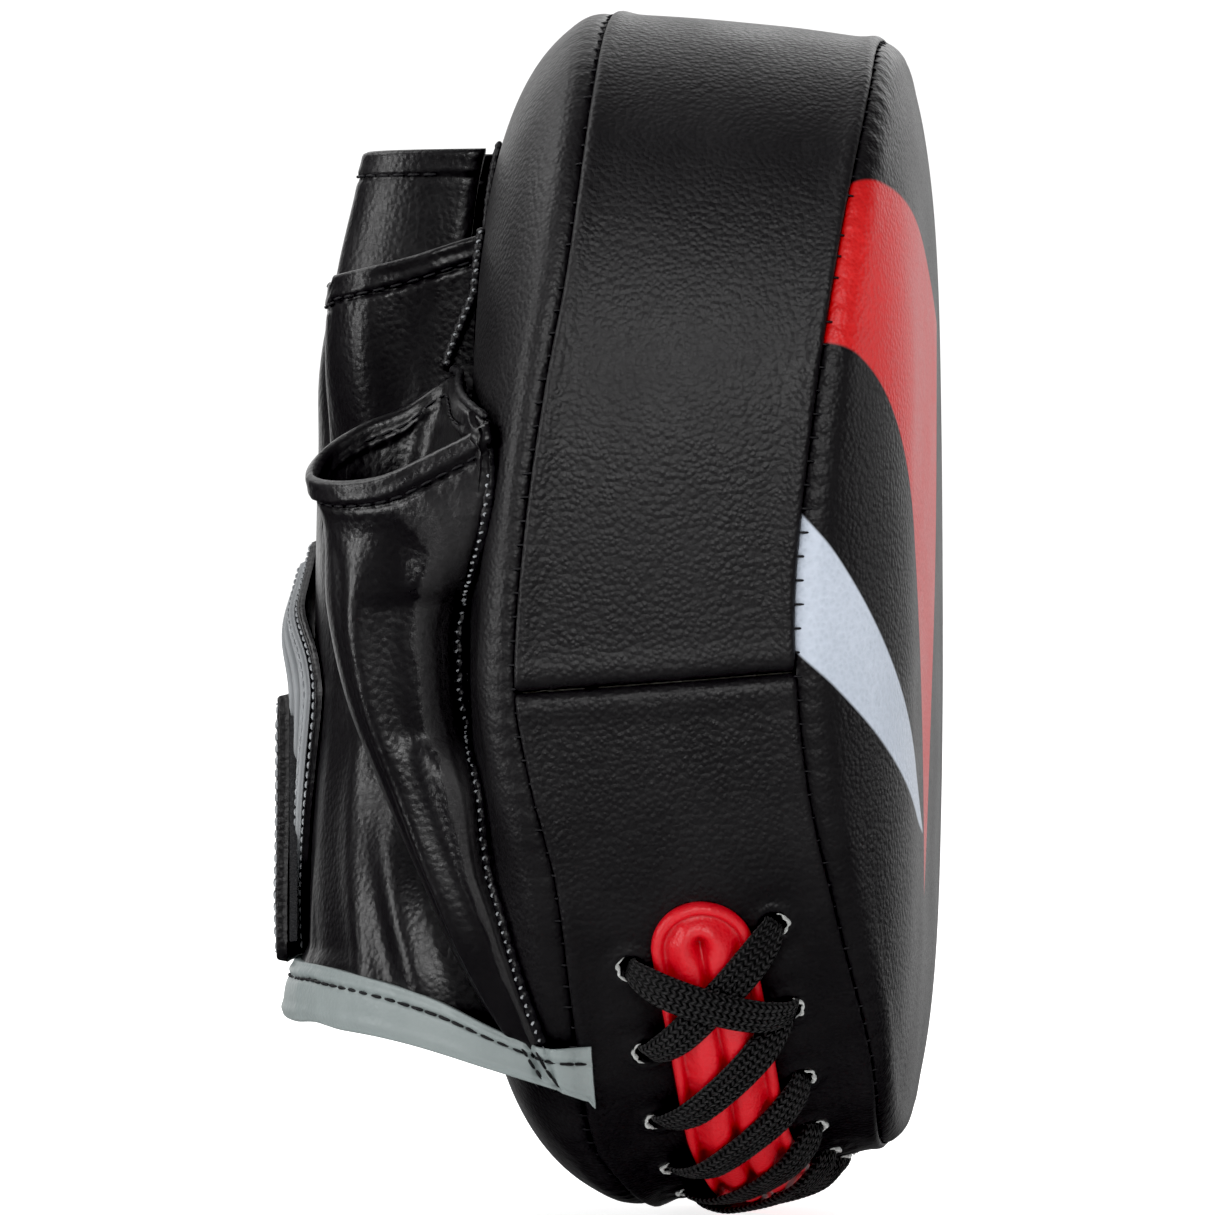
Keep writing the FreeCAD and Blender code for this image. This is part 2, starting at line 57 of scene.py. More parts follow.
# ---- sizes shared with the CAD part --------------------------------------------------------------------
POWER = 2.5
FRONT_MID_Z, FRONT_HALF_H, FRONT_HALF_W = 115.0, 103.0, 87.0
BACK_MID_Z, BACK_HALF_H, BACK_HALF_W = 111.9, 111.3, 91.0
FACE_Y, BACK_Y = -60.5, 20.0
FACE_FLAT, BACK_FLAT = 0.58, 0.61
BAND_CROWN = 0.8
FRONT_SEAM = [(10, -52.6), (30, -53.2), (57, -48.0), (80, -43.4), (110, -41.2), (142, -43.9), (179, -48.7),
              (205, -52.2), (220, -52.4)]
BACK_SEAM = [(0, -10.0), (6, -6.4), (14, -2.6), (38, -0.6), (62, 1.6), (80, 5.8), (98, 8.6), (125, 6.9),
             (150, 3.6), (175, -0.3), (205, -2.6), (224, -3.0)]
BAND_SEAM_Z = 98.5
TONGUE_TOP_Z, TONGUE_HALF_W = 58.0, 9.0
HOLE_OFFSET, HOLE_R, HOLE_PITCH, HOLE_LEAD, HOLE_SLANT = 13.4, 2.5, 17.0, 5.0, 5.0
LACE_T = 1.2
SKIN = 2.0                                        # thickness of the pad's leather
STITCH_PITCH = 4.3


# ---- numbers along curves ------------------------------------------------------------------------------
def along(table, at):
    """Smooth values from (position, value) pairs."""
    xs, ys = np.array(table, float).T
    slopes = np.empty_like(ys)
    slopes[1:-1] = (ys[2:] - ys[:-2]) / (xs[2:] - xs[:-2])
    slopes[0], slopes[-1] = (ys[1] - ys[0]) / (xs[1] - xs[0]), (ys[-1] - ys[-2]) / (xs[-1] - xs[-2])
    at = np.clip(np.asarray(at, float), xs[0], xs[-1])
    i = np.clip(np.searchsorted(xs, at, side="right") - 1, 0, len(xs) - 2)
    w = xs[i + 1] - xs[i]
    t = (at - xs[i]) / w
    return ((2 * t**3 - 3 * t**2 + 1) * ys[i] + (t**3 - 2 * t**2 + t) * w * slopes[i]
            + (3 * t**2 - 2 * t**3) * ys[i + 1] + (t**3 - t**2) * w * slopes[i + 1])


def smooth(low, high, value):
    """0 up to low, 1 from high on, with a soft rise between."""
    t = np.clip((np.asarray(value, float) - low) / (high - low), 0, 1)
    return t * t * (3 - 2 * t)


def hump(value, centre, width):
    """Bell of height 1."""
    return np.exp(-((np.asarray(value, float) - centre) / width) ** 2)


def unit(v):
    return v / np.maximum(np.linalg.norm(v, axis=-1, keepdims=True), 1e-12)


def lengths(points):
    """Length along a path at each of its points."""
    return np.concatenate([[0], np.cumsum(np.linalg.norm(np.diff(points, axis=0), axis=-1))])


def ring_lengths(points):
    """The same for a closed path, and its whole length."""
    steps = np.linalg.norm(np.diff(points, axis=0), axis=-1)
    return lengths(points), steps.sum() + np.linalg.norm(points[0] - points[-1])


def mean_wave(phase):
    """From 0 to 1 and back along a phase."""
    return 0.5 + 0.5 * np.cos(phase)


def rounded(gap, radius):
    """Quarter-circle fall of an edge: 1 from radius inwards, 0 at the edge."""
    return np.sqrt(np.clip(1 - (1 - gap / radius).clip(0, 1) ** 2, 0, 1))


def lattice(ix, iy, iz, seed):
    """Hashed value from -1 to 1 at a lattice point."""
    h = (ix * 374761393 + iy * 668265263 + iz * 2147483647 + seed * 1274126177) & 0xFFFFFFFF
    h = ((h ^ (h >> 13)) * 1274126177) & 0xFFFFFFFF
    return ((h ^ (h >> 16)) & 0xFFFF) / 32767.5 - 1.0


def noise(p, size, seed=0):
    """Smooth value noise from -1 to 1 over points p, with features of about the given size."""
    q = np.asarray(p, float) / size
    base = np.floor(q).astype(np.int64)
    f = q - base
    f = f * f * (3 - 2 * f)
    total = 0.0
    for dx in (0, 1):
        for dy in (0, 1):
            for dz in (0, 1):
                w = ((f[..., 0] if dx else 1 - f[..., 0]) * (f[..., 1] if dy else 1 - f[..., 1])
                     * (f[..., 2] if dz else 1 - f[..., 2]))
                total = total + w * lattice(base[..., 0] + dx, base[..., 1] + dy, base[..., 2] + dz, seed)
    return total


# ---- pad surface ---------------------------------------------------------------------------------------
def reach(angle, half_w, half_h, power):
    """Radius of a superellipse at an angle from its top."""
    across, up = np.abs(np.sin(angle)) / half_w, np.abs(np.cos(angle)) / half_h
    return 1 / (across**power + up**power) ** (1 / power)


def seam_point(angle, front):
    """Point of the face's seam or of the hand side's seam at an outline angle."""
    half_w, half_h, middle, table = ((FRONT_HALF_W, FRONT_HALF_H, FRONT_MID_Z, FRONT_SEAM) if front else
                                     (BACK_HALF_W, BACK_HALF_H, BACK_MID_Z, BACK_SEAM))
    r = reach(angle, half_w, half_h, POWER)
    z = middle + r * np.cos(angle)
    return np.stack([-r * np.sin(angle), along(table, z), z], -1)


def dome(angle, v, front):
    """v: 0 at the seam, 1 at the edge of the flat, 2 at the middle of the flat."""
    seam = seam_point(angle, front)
    middle, flat, plane = (FRONT_MID_Z, FACE_FLAT, FACE_Y) if front else (BACK_MID_Z, BACK_FLAT, BACK_Y)
    phi = PI / 2 * np.clip(v, 0, 1)
    scale = (1 - (1 - flat) * (1 - np.cos(phi))) * (2 - np.clip(v, 1, 2))
    swell = 0.7 * (1 - (2 - np.clip(v, 1, 2)) ** 2) * (-1 if front else 0.3)
    return np.stack([seam[..., 0] * scale, seam[..., 1] + (plane - seam[..., 1]) * np.sin(phi) + swell,
                     middle + (seam[..., 2] - middle) * scale], -1)


def band(angle, t):
    """t: 0 at the front seam, 1 at the back seam."""
    a, b = seam_point(angle, True), seam_point(angle, False)
    t = np.asarray(t)[..., None]
    out = np.stack([-np.sin(angle), 0 * angle, np.cos(angle)], -1)
    return a + (b - a) * t + out * BAND_CROWN * np.sin(PI * np.clip(t, 0, 1))


def outward(surface, u, v, centre=(0, -20, 112), step=1e-3):
    """Outward normal of surface(u, v)."""
    du = surface(u + step, v) - surface(u - step, v)
    dv = surface(u, v + step) - surface(u, v - step)
    n = unit(np.cross(du, dv))
    sign = np.sign(np.sum(n * (surface(u, v) - np.array(centre)), -1, keepdims=True))
    return n * sign


def back_depth(x, z):
    """Depth of the pad's hand side at x, z."""
    dx, dz = np.abs(x), np.asarray(z) - BACK_MID_Z
    r = np.hypot(dx, dz)
    angle = np.arctan2(dx, dz)
    full = reach(angle, BACK_HALF_W, BACK_HALF_H, POWER)
    part = np.clip((1 - r / full) / (1 - BACK_FLAT), 0, 1)
    seam_y = along(BACK_SEAM, BACK_MID_Z + full * np.cos(angle))
    return seam_y + (BACK_Y - seam_y) * np.sin(np.arccos(1 - part))


def side_x(y, z, low=60.0, high=90.5):
    """Distance from the middle plane at which the hand side has depth y, at height z."""
    low, high = np.full_like(z, low, dtype=float), np.full_like(z, high, dtype=float)
    for _ in range(24):
        mid = (low + high) / 2
        above = back_depth(mid, z) > y
        low, high = np.where(above, mid, low), np.where(above, high, mid)
    return (low + high) / 2


# ---- meshes --------------------------------------------------------------------------------------------
def make_object(name, verts, faces, uvs=None):
    """Mesh object from points in millimetres, with its faces turned outwards."""
    mesh = bpy.data.meshes.new(name)
    co = (np.asarray(verts, float).reshape(-1, 3) + ROW_SHIFT) * MM
    mesh.from_pydata(co.tolist(), [], [tuple(int(i) for i in f) for f in faces])
    if uvs is not None:
        layer = mesh.uv_layers.new(name="UVMap")
        loops = np.empty(len(mesh.loops), np.int32)
        mesh.loops.foreach_get("vertex_index", loops)
        layer.data.foreach_set("uv", np.asarray(uvs, float).reshape(-1, 2)[loops].astype(np.float32).ravel())
    mesh.validate()
    bm = bmesh.new()
    bm.from_mesh(mesh)
    bmesh.ops.recalc_face_normals(bm, faces=bm.faces)
    bm.to_mesh(mesh)
    bm.free()
    mesh.polygons.foreach_set("use_smooth", [True] * len(mesh.polygons))
    obj = bpy.data.objects.new(name, mesh)
    bpy.context.scene.collection.objects.link(obj)
    return obj


def grid_faces(rows, cols, wrap_rows=False, wrap_cols=False, start=0):
    """Quads of a grid of points numbered from start."""
    i = np.arange(rows if wrap_rows else rows - 1)
    j = np.arange(cols if wrap_cols else cols - 1)
    i, j = np.meshgrid(i, j, indexing="ij")
    i1, j1 = (i + 1) % rows, (j + 1) % cols
    quads = np.stack([i * cols + j, i * cols + j1, i1 * cols + j1, i1 * cols + j], -1).reshape(-1, 4)
    return (quads + start).tolist()


def grid_uv(points):
    """Surface lengths along both directions of a grid of points, in millimetres."""
    u = np.zeros(points.shape[:2])
    v = np.zeros(points.shape[:2])
    u[1:] = np.cumsum(np.linalg.norm(np.diff(points, axis=0), axis=-1), 0).mean(1, keepdims=True)
    v[:, 1:] = np.cumsum(np.linalg.norm(np.diff(points, axis=1), axis=-1), 1)
    return np.stack([u, v], -1)


def closed_grid(name, points, wrap_rows=False, wrap_cols=False, caps=False):
    """Mesh of a grid that wraps round one or both ways; caps closes its first and last column or row."""
    rows, cols = points.shape[:2]
    faces = grid_faces(rows, cols, wrap_rows, wrap_cols)
    if caps:
        if wrap_cols:
            faces += [list(range(cols)), [(rows - 1) * cols + k for k in range(cols)]]
        if wrap_rows:
            faces += [[k * cols for k in range(rows)], [k * cols + cols - 1 for k in range(rows)]]
    return make_object(name, points, faces, grid_uv(points))


def sheet_solid(name, outer, inner):
    """Closed leather sheet between two matching open grids."""
    rows, cols = outer.shape[:2]
    n = rows * cols
    faces = grid_faces(rows, cols) + [f[::-1] for f in grid_faces(rows, cols, start=n)]
    rim = ([(0, j) for j in range(cols)] + [(i, cols - 1) for i in range(1, rows)]
           + [(rows - 1, j) for j in range(cols - 2, -1, -1)] + [(i, 0) for i in range(rows - 2, 0, -1)])
    ids = [i * cols + j for i, j in rim]
    for a, b in zip(ids, ids[1:] + ids[:1]):
        faces.append([b, a, a + n, b + n])
    return two_sided(name, outer, inner, faces)


def cut_sheet(name, outer, inner, is_cut):
    """Closed sheet between two matching open grids without the cells for which is_cut(i, j) holds."""
    rows, cols = outer.shape[:2]
    n, faces, edges = rows * cols, [], {}
    for i, j in np.ndindex(rows - 1, cols - 1):
        if is_cut(i, j):
            continue
        q = [i * cols + j, i * cols + j + 1, (i + 1) * cols + j + 1, (i + 1) * cols + j]
        faces += [q, [k + n for k in reversed(q)]]
        for e in zip(q, q[1:] + q[:1]):
            key = (min(e), max(e))
            edges[key] = None if key in edges else e
    faces += [[e[1], e[0], e[0] + n, e[1] + n] for e in edges.values() if e]
    return two_sided(name, outer, inner, faces)


def two_sided(name, outer, inner, faces):
    """Mesh of the points of two grids, one after the other, with the outer one's surface lengths as UV."""
    uv = grid_uv(outer).reshape(-1, 2)
    return make_object(name, np.concatenate([outer.reshape(-1, 3), inner.reshape(-1, 3)]), faces,
                       np.concatenate([uv, uv]))


def on_line(surface, below, depth):
    """Points of a surface at a depth below its edge, one for each of its lines."""
    return np.array([[np.interp(-depth, -b, line[:, c]) for c in range(3)]
                     for line, b in zip(surface, below)])


def join(name, parts):
    """One object from several; its first part gives the place in the scene."""
    bpy.ops.object.select_all(action="DESELECT")
    for p in parts:
        p.select_set(True)
    bpy.context.view_layer.objects.active = parts[0]
    bpy.ops.object.join()
    parts[0].name = name
    return parts[0]


def path_frames(points, normals, closed=False):
    """Tangent, side and up of each point of a path, up near the given normals."""
    if closed:
        tangent = unit(np.roll(points, -1, 0) - np.roll(points, 1, 0))
    else:
        tangent = unit(np.gradient(points, axis=0))
    side = unit(np.cross(tangent, normals))
    return tangent, side, unit(np.cross(side, tangent))


def sweep(name, points, normals, profile, closed=False, scale=None):
    """Solid with a closed profile of (side, up) points along a path."""
    _, side, up = path_frames(points, normals, closed)
    profile = np.asarray(profile, float)
    if profile.ndim == 2:
        profile = np.broadcast_to(profile, (len(points),) + profile.shape)
    if scale is not None:
        profile = profile * np.asarray(scale)[:, None, None]
    rings = points[:, None] + side[:, None] * profile[..., :1] + up[:, None] * profile[..., 1:]
    return closed_grid(name, rings, wrap_rows=closed, wrap_cols=True, caps=not closed)


def round_profile(half_w, half_h, count=12, power=2.0):
    """Closed superellipse, as (side, up) points."""
    a = np.arange(count) * TAU / count
    c, s = np.cos(a), np.sin(a)
    return np.stack([half_w * np.sign(c) * np.abs(c) ** (2 / power),
                     half_h * np.sign(s) * np.abs(s) ** (2 / power)], -1)


def resample(points, pitch, *others):
    """Points at even spacing along a path, and matching vectors of other arrays given along it."""
    length = lengths(points)
    count = max(int(round(length[-1] / pitch)), 2)
    at = (np.arange(count) + 0.5) * length[-1] / count
    return [np.stack([np.interp(at, length, given[:, k]) for k in range(3)], -1)
            for given in (points, *others)]


def threads(name, starts, ends, normals, radius, arch=0.25):
    """Short stitches of thread: small bowed capsules from starts to ends."""
    verts, faces = [], []
    ts = np.array([-0.04, 0.0, 0.15, 0.5, 0.85, 1.0, 1.04])
    rs = np.array([0.05, 0.7, 1.0, 1.05, 1.0, 0.7, 0.05]) * radius
    lift = np.array([-0.5, -0.25, 0.5, 1.0, 0.5, -0.25, -0.5]) * arch
    ring = np.arange(6) * TAU / 6
    for a, b, n in zip(starts, ends, normals):
        d = b - a
        t = d / max(np.linalg.norm(d), 1e-9)
        s = np.cross(t, n)
        s = s / max(np.linalg.norm(s), 1e-9)
        u = np.cross(s, t)
        start = len(verts) * 6
        for k in range(len(ts)):
            c = a + d * ts[k] + n * lift[k]
            verts.append(c + (np.cos(ring)[:, None] * s + np.sin(ring)[:, None] * u) * rs[k])
        faces += grid_faces(len(ts), 6, wrap_cols=True, start=start)
        faces += [[start + i for i in range(6)], [start + (len(ts) - 1) * 6 + i for i in range(6)]]
    return make_object(name, np.concatenate(verts), faces)


# ---- materials -----------------------------------------------------------------------------------------
class Tree:
    """Small helper that builds a node tree; a (node, output) pair stands for a linked value."""

    def __init__(self, tree):
        self.tree = tree
        tree.nodes.clear()

    def add(self, kind, **values):
        node = self.tree.nodes.new(kind)
        for key, value in values.items():
            setattr(node, key, value)
        return node

    def value(self, source, into):
        """Links a pair, or sets a plain value."""
        if isinstance(source, tuple) and hasattr(source[0], "outputs"):
            self.tree.links.new(source[0].outputs[source[1]], into)
        else:
            into.default_value = source

    def math(self, operation, a, b=0.0, c=0.0):
        node = self.add("ShaderNodeMath", operation=operation)
        for i, s in enumerate((a, b, c)):
            self.value(s, node.inputs[i])
        return node, 0

    def remap(self, source, a, b, c, d, **how):
        node = self.add("ShaderNodeMapRange", **how)
        self.value(source, node.inputs["Value"])
        for key, v in zip(("From Min", "From Max", "To Min", "To Max"), (a, b, c, d)):
            node.inputs[key].default_value = v
        return node, 0


class Nodes(Tree):
    """A node material with one principled shader."""

    def __init__(self, name):
        self.material = bpy.data.materials.new(name)
        self.material.use_nodes = True
        super().__init__(self.material.node_tree)
        self.shader = self.add("ShaderNodeBsdfPrincipled")
        self.value((self.shader, "BSDF"), self.add("ShaderNodeOutputMaterial").inputs["Surface"])
        self.coords = self.add("ShaderNodeTexCoord")

    def noise(self, scale, detail=3.0, rough=0.5, stretch=None):
        node = self.add("ShaderNodeTexNoise")
        node.inputs["Scale"].default_value = scale
        node.inputs["Detail"].default_value = detail
        node.inputs["Roughness"].default_value = rough
        self.feed(node, stretch)
        return node, 0

    def cells(self, scale, feature="F1", smoothness=None):
        node = self.add("ShaderNodeTexVoronoi", feature=feature)
        node.inputs["Scale"].default_value = scale
        if smoothness is not None:
            node.inputs["Smoothness"].default_value = smoothness
        self.feed(node)
        return node, 0

    def feed(self, node, stretch=None):
        """Gives a texture the object's own coordinates, stretched if asked."""
        source = (self.coords, "Object")
        if stretch is not None:
            mapping = self.add("ShaderNodeMapping")
            mapping.inputs["Scale"].default_value = stretch
            self.value(source, mapping.inputs["Vector"])
            source = (mapping, 0)
        self.value(source, node.inputs["Vector"])

    def uv(self):
        """The two numbers of the UV map."""
        split = self.add("ShaderNodeSeparateXYZ")
        self.value((self.coords, "UV"), split.inputs[0])
        return (split, 0), (split, 1)

    def grain(self, pebble_mm, pore_scale, depth_mm, strength=0.8):
        """Pattern of leather pebbles, and the bump of the pebbles and their pores."""
        pebbles = self.cells(1000 / pebble_mm, "SMOOTH_F1", smoothness=0.35)
        pores = self.math("MULTIPLY", self.noise(pore_scale, 3.0, 0.6), 0.35)
        height = self.math("ADD", self.math("MULTIPLY", pebbles, -1.0), pores)
        return pebbles, self.bump(height, depth_mm * MM, strength)

    def mix(self, factor, a, b):
        node = self.add("ShaderNodeMix", data_type="RGBA")
        self.value(factor, node.inputs[0])
        for s, i in ((a, 6), (b, 7)):
            self.value((*s, 1.0) if isinstance(s, tuple) and len(s) == 3 else s, node.inputs[i])
        return node, 2

    def bump(self, source, distance, strength=1.0, after=None):
        node = self.add("ShaderNodeBump")
        node.inputs["Distance"].default_value = distance
        node.inputs["Strength"].default_value = strength
        self.value(source, node.inputs["Height"])
        if after is not None:
            self.value(after, node.inputs["Normal"])
        return node, 0

    def finish(self, colour=None, roughness=None, normal=None, **constants):
        for key, source in (("Base Color", colour), ("Roughness", roughness), ("Normal", normal)):
            if source is not None:
                self.value(source, self.shader.inputs[key])
        for key, v in constants.items():
            self.shader.inputs[key.replace("_", " ")].default_value = v
        return self.material


def leather(name, dark, light, rough, grain, depth, crease=0.0):
    """Grained leather: pebbles of about grain mm, fine pores, slow mottling and optional crease lines."""
    m = Nodes(name)
    slow = m.noise(60, 4.0, 0.55)
    pebbles, normal = m.grain(grain, 3200, depth)
    if crease:
        wrinkles = m.noise(380, 4.0, 0.6, stretch=(1.0, 1.0, 0.5))
        normal = m.bump(wrinkles, crease * MM, 0.7, normal)
    colour = m.mix(slow, dark, light)
    roughness = m.math("ADD", m.remap(slow, 0.25, 0.75, rough - 0.05, rough + 0.06),
                       m.math("MULTIPLY", pebbles, 0.10))
    return m.finish(colour, roughness, normal, Specular_IOR_Level=0.5)


# ---- pad skins and edge band ---------------------------------------------------------------------------
ROUND = np.arange(960) * TAU / 960


def pad_skin(name, front):
    """Domed panel: a closed lens whose edge is tucked under the band."""
    v = np.concatenate([np.linspace(0, 1, 56) ** 1.35, np.linspace(1, 1.985, 16)[1:]])
    a, vv = np.meshgrid(ROUND, v, indexing="ij")
    surface = lambda p, q: dome(p, q, front)
    points = surface(a, vv)
    normals = outward(surface, a, np.clip(vv, 1e-3, 1.98))
    away = np.concatenate([np.zeros((len(ROUND), 1)),
                           np.cumsum(np.linalg.norm(np.diff(points, axis=1), axis=-1), 1)], 1)
    arc, total = ring_lengths(points[:, 0])
    phase = TAU * arc / (total / round(total / STITCH_PITCH))
    pull = mean_wave(phase)[:, None]
    strength = 0.75 + 0.45 * noise(points, 38, 5 if front else 6)
    tight = 0.16 if front else 0.13
    height = ((-0.75 if front else -1.25) * np.exp(-away)
              - tight * strength * pull * hump(away, 2.0, 1.7)
              + 0.40 * hump(away, 4.8, 3.2) * (1 - tight * 0.8 * pull)
              + 0.30 * noise(points, 46, 1) + 0.10 * noise(points, 17, 2) * np.exp(-away / 30)
              + 0.16 * strength * noise(points, 5.0, 3) * np.exp(-((away - 4) / 4) ** 2))
    if not front:                      # pull lines round the bend beside the cross seam
        near_bend = hump(points[..., 2], 97, 26) * (points[..., 0] < 0)
        height += near_bend * (1.1 * hump(away, 8.5, 3.6) - 0.7 * hump(away, 15.0, 4.0))
        height -= near_bend * 0.10 * pull * hump(away, 3.0, 2.0)
    outer = points + normals * height[..., None]
    tuck = outer[:, :1] - normals[:, :1] * 2.6 + np.array([0, 0.9 if front else -0.9, 0])
    inner = points[:, ::-1] - normals[:, ::-1] * SKIN
    rings = np.concatenate([inner[:, :-1], tuck, outer], 1)
    rows, cols = rings.shape[:2]
    faces = grid_faces(rows, cols, wrap_rows=True)
    n = rows * cols
    faces += [[i * cols, ((i + 1) % rows) * cols, n] for i in range(rows)]
    faces += [[i * cols + cols - 1, ((i + 1) % rows) * cols + cols - 1, n + 1] for i in range(rows)]
    poles = np.stack([rings[:, 0].mean(0), outer[:, -1].mean(0)])
    # flat pattern of the panel: distances from its middle, laid out along their directions
    left = away[:, -1:] - away
    flat = np.stack([-left * np.sin(a), left * np.cos(a)], -1)
    flat = np.concatenate([flat[:, ::-1][:, :-1], flat[:, :1], flat], 1)
    return make_object(name, np.concatenate([rings.reshape(-1, 3), poles]), faces,
                       np.concatenate([flat.reshape(-1, 2), [[0, 0], [0, 0]]]))


def band_width(angle):
    """Distance between the band's two seams."""
    return np.linalg.norm(seam_point(angle, True) - seam_point(angle, False), axis=-1)


HALF_TURN = np.linspace(PI, 0, 1441)              # from the lowest point of the band to its top
MID_LINE = band(HALF_TURN, np.full(1441, 0.5))
MID_LENGTH = lengths(MID_LINE)
TONGUE_S = float(np.interp(TONGUE_TOP_Z, MID_LINE[:, 2], MID_LENGTH))
CROSS_ANGLE = float(np.interp(-BAND_SEAM_Z, -MID_LINE[::-1, 2], HALF_TURN[::-1]))


def arc_angle(s):
    """Outline angle at an arc length from the lowest point of the band."""
    a = np.interp(np.abs(s), MID_LENGTH, HALF_TURN)
    return np.where(np.asarray(s) <= 0, a, TAU - a)


def angle_arc(angle):
    """Arc length from the lowest point of the band at an outline angle."""
    angle = np.asarray(angle)
    folded = np.where(angle <= PI, angle, TAU - angle)
    s = np.interp(-folded, -HALF_TURN, MID_LENGTH)
    return np.where(angle <= PI, -s, s)


def band_place(s, across, height):
    """Point over the lower band: s along, across towards the hand, height outwards."""
    s, across, height = (np.asarray(x, float) for x in (s, across, height))
    a = arc_angle(s)
    t = 0.5 + across / band_width(a)
    return band(a, t) + outward(band, a, np.clip(t, 0.01, 0.99)) * height[..., None]


def lace_holes():
    """Places along the band of each pair of holes, on the face side and on the hand side."""
    count = int((2 * TONGUE_S - 2 * HOLE_LEAD - HOLE_SLANT) / HOLE_PITCH) + 1
    pitch = (2 * TONGUE_S - 2 * HOLE_LEAD - HOLE_SLANT) / (count - 1)
    return [(-TONGUE_S + HOLE_LEAD + pitch * i, -TONGUE_S + HOLE_LEAD + pitch * i + HOLE_SLANT)
            for i in range(count)]


EDGE_PROFILE = [(1.0, -1.9), (0.25, -1.6), (-0.05, -0.9), (-0.05, -0.25), (0.2, 0.25), (0.65, 0.5),
                (1.2, 0.58), (1.9, 0.48), (2.8, 0.26), (4.0, 0.08), (5.5, 0.0)]  # rolled edge: inwards, up


def band_panel(name, low, high, holes=()):
    """Length of edge band with rolled edges; its ends turn down into the cross seams."""
    count = int((high - low) * 190) // 2 * 2      # columns about 0.5 mm apart
    angles = np.linspace(low, high, count)
    width = band_width(angles)
    edge = np.array(EDGE_PROFILE)
    inner_share = np.linspace(0, 1, 58)[1:-1]
    mm = np.concatenate([np.broadcast_to(edge[:, 0], (count, len(edge))),
                         5.5 + (width[:, None] - 11) * inner_share,
                         width[:, None] - edge[::-1, 0],
                         1.5 + (width[:, None] - 3) * np.linspace(1, 0, 9)], 1)
    up = np.concatenate([edge[:, 1], np.zeros(56), edge[::-1, 1], np.full(9, -2.0)])
    a = np.broadcast_to(angles[:, None], mm.shape)
    t = mm / width[:, None]
    points = band(a, t)
    normals = outward(band, a, np.clip(t, 0.01, 0.99))
    arc = lengths(band(angles, np.full(count, 0.5)))
    end = np.maximum(np.minimum(arc, arc[-1] - arc), 0.0)[:, None]
    top = (np.arange(mm.shape[1]) < len(edge) * 2 + 56)[None]
    up = np.broadcast_to(up, mm.shape).copy()
    drop = -1.75 * np.exp(-(end / 0.75) ** 1.6) + 0.30 * hump(end, 3.2, 2.2)
    up += top * (drop + 0.22 * noise(points, 40, 11) + 0.09 * noise(points, 13, 12)
                 + 0.16 * noise(points * [1, 0.35, 1], 6, 13) * np.exp(-end / 7))
    edge_gap = np.minimum(mm, width[:, None] - mm)
    up += top * 0.10 * noise(points, 7.0, 14) * np.exp(-(edge_gap / 4) ** 2)
    if len(holes):
        s = angle_arc(a)
        across = (t - 0.5) * width[:, None]
        for hs, ha in holes:
            r = np.hypot(s - hs, across - ha)
            up += top * (-2.3 * (1 - smooth(HOLE_R * 0.72, HOLE_R * 1.02, r))
                         + 0.22 * hump(r, HOLE_R * 1.35, 0.7) - 0.35 * hump(r, HOLE_R * 2.0, 2.2))
    return closed_grid(name, points + normals * up[..., None], wrap_cols=True, caps=True)


def seam_stitches(name, front):
    """Ladder of thread from under the band's edge to the panel beside it."""
    a = np.linspace(0, TAU, 2400, endpoint=False)
    seam = seam_point(a, front)
    arc, total = ring_lengths(seam)
    count = round(total / STITCH_PITCH)
    at = np.arange(count) * total / count
    angle = np.interp(at, arc, a)
    t = 0.006 if front else 0.994
    below = outward(band, angle, np.full(count, 0.02 if front else 0.98)) * -0.25
    start = band(angle, np.full(count, t)) + below
    ends, normals = [], []
    table_v = np.linspace(0, 0.25, 40)
    for k, g in enumerate(angle):
        line = dome(np.full(40, g), table_v, front)
        away = lengths(line)
        reach_mm = 1.1 + 0.9 * math.sin(k * 2.4) * math.sin(k * 0.7) + 0.5 * math.sin(k * 0.23)
        v = np.interp(reach_mm, away, table_v)
        n = outward(lambda p, q: dome(p, q, front), np.array([g]), np.array([max(v, 1e-3)]))[0]
        ends.append(dome(np.array([g]), np.array([v]), front)[0] - n * 0.42)
        normals.append(n)
    return threads(name, start, np.array(ends), np.array(normals), 0.22, 0.10)


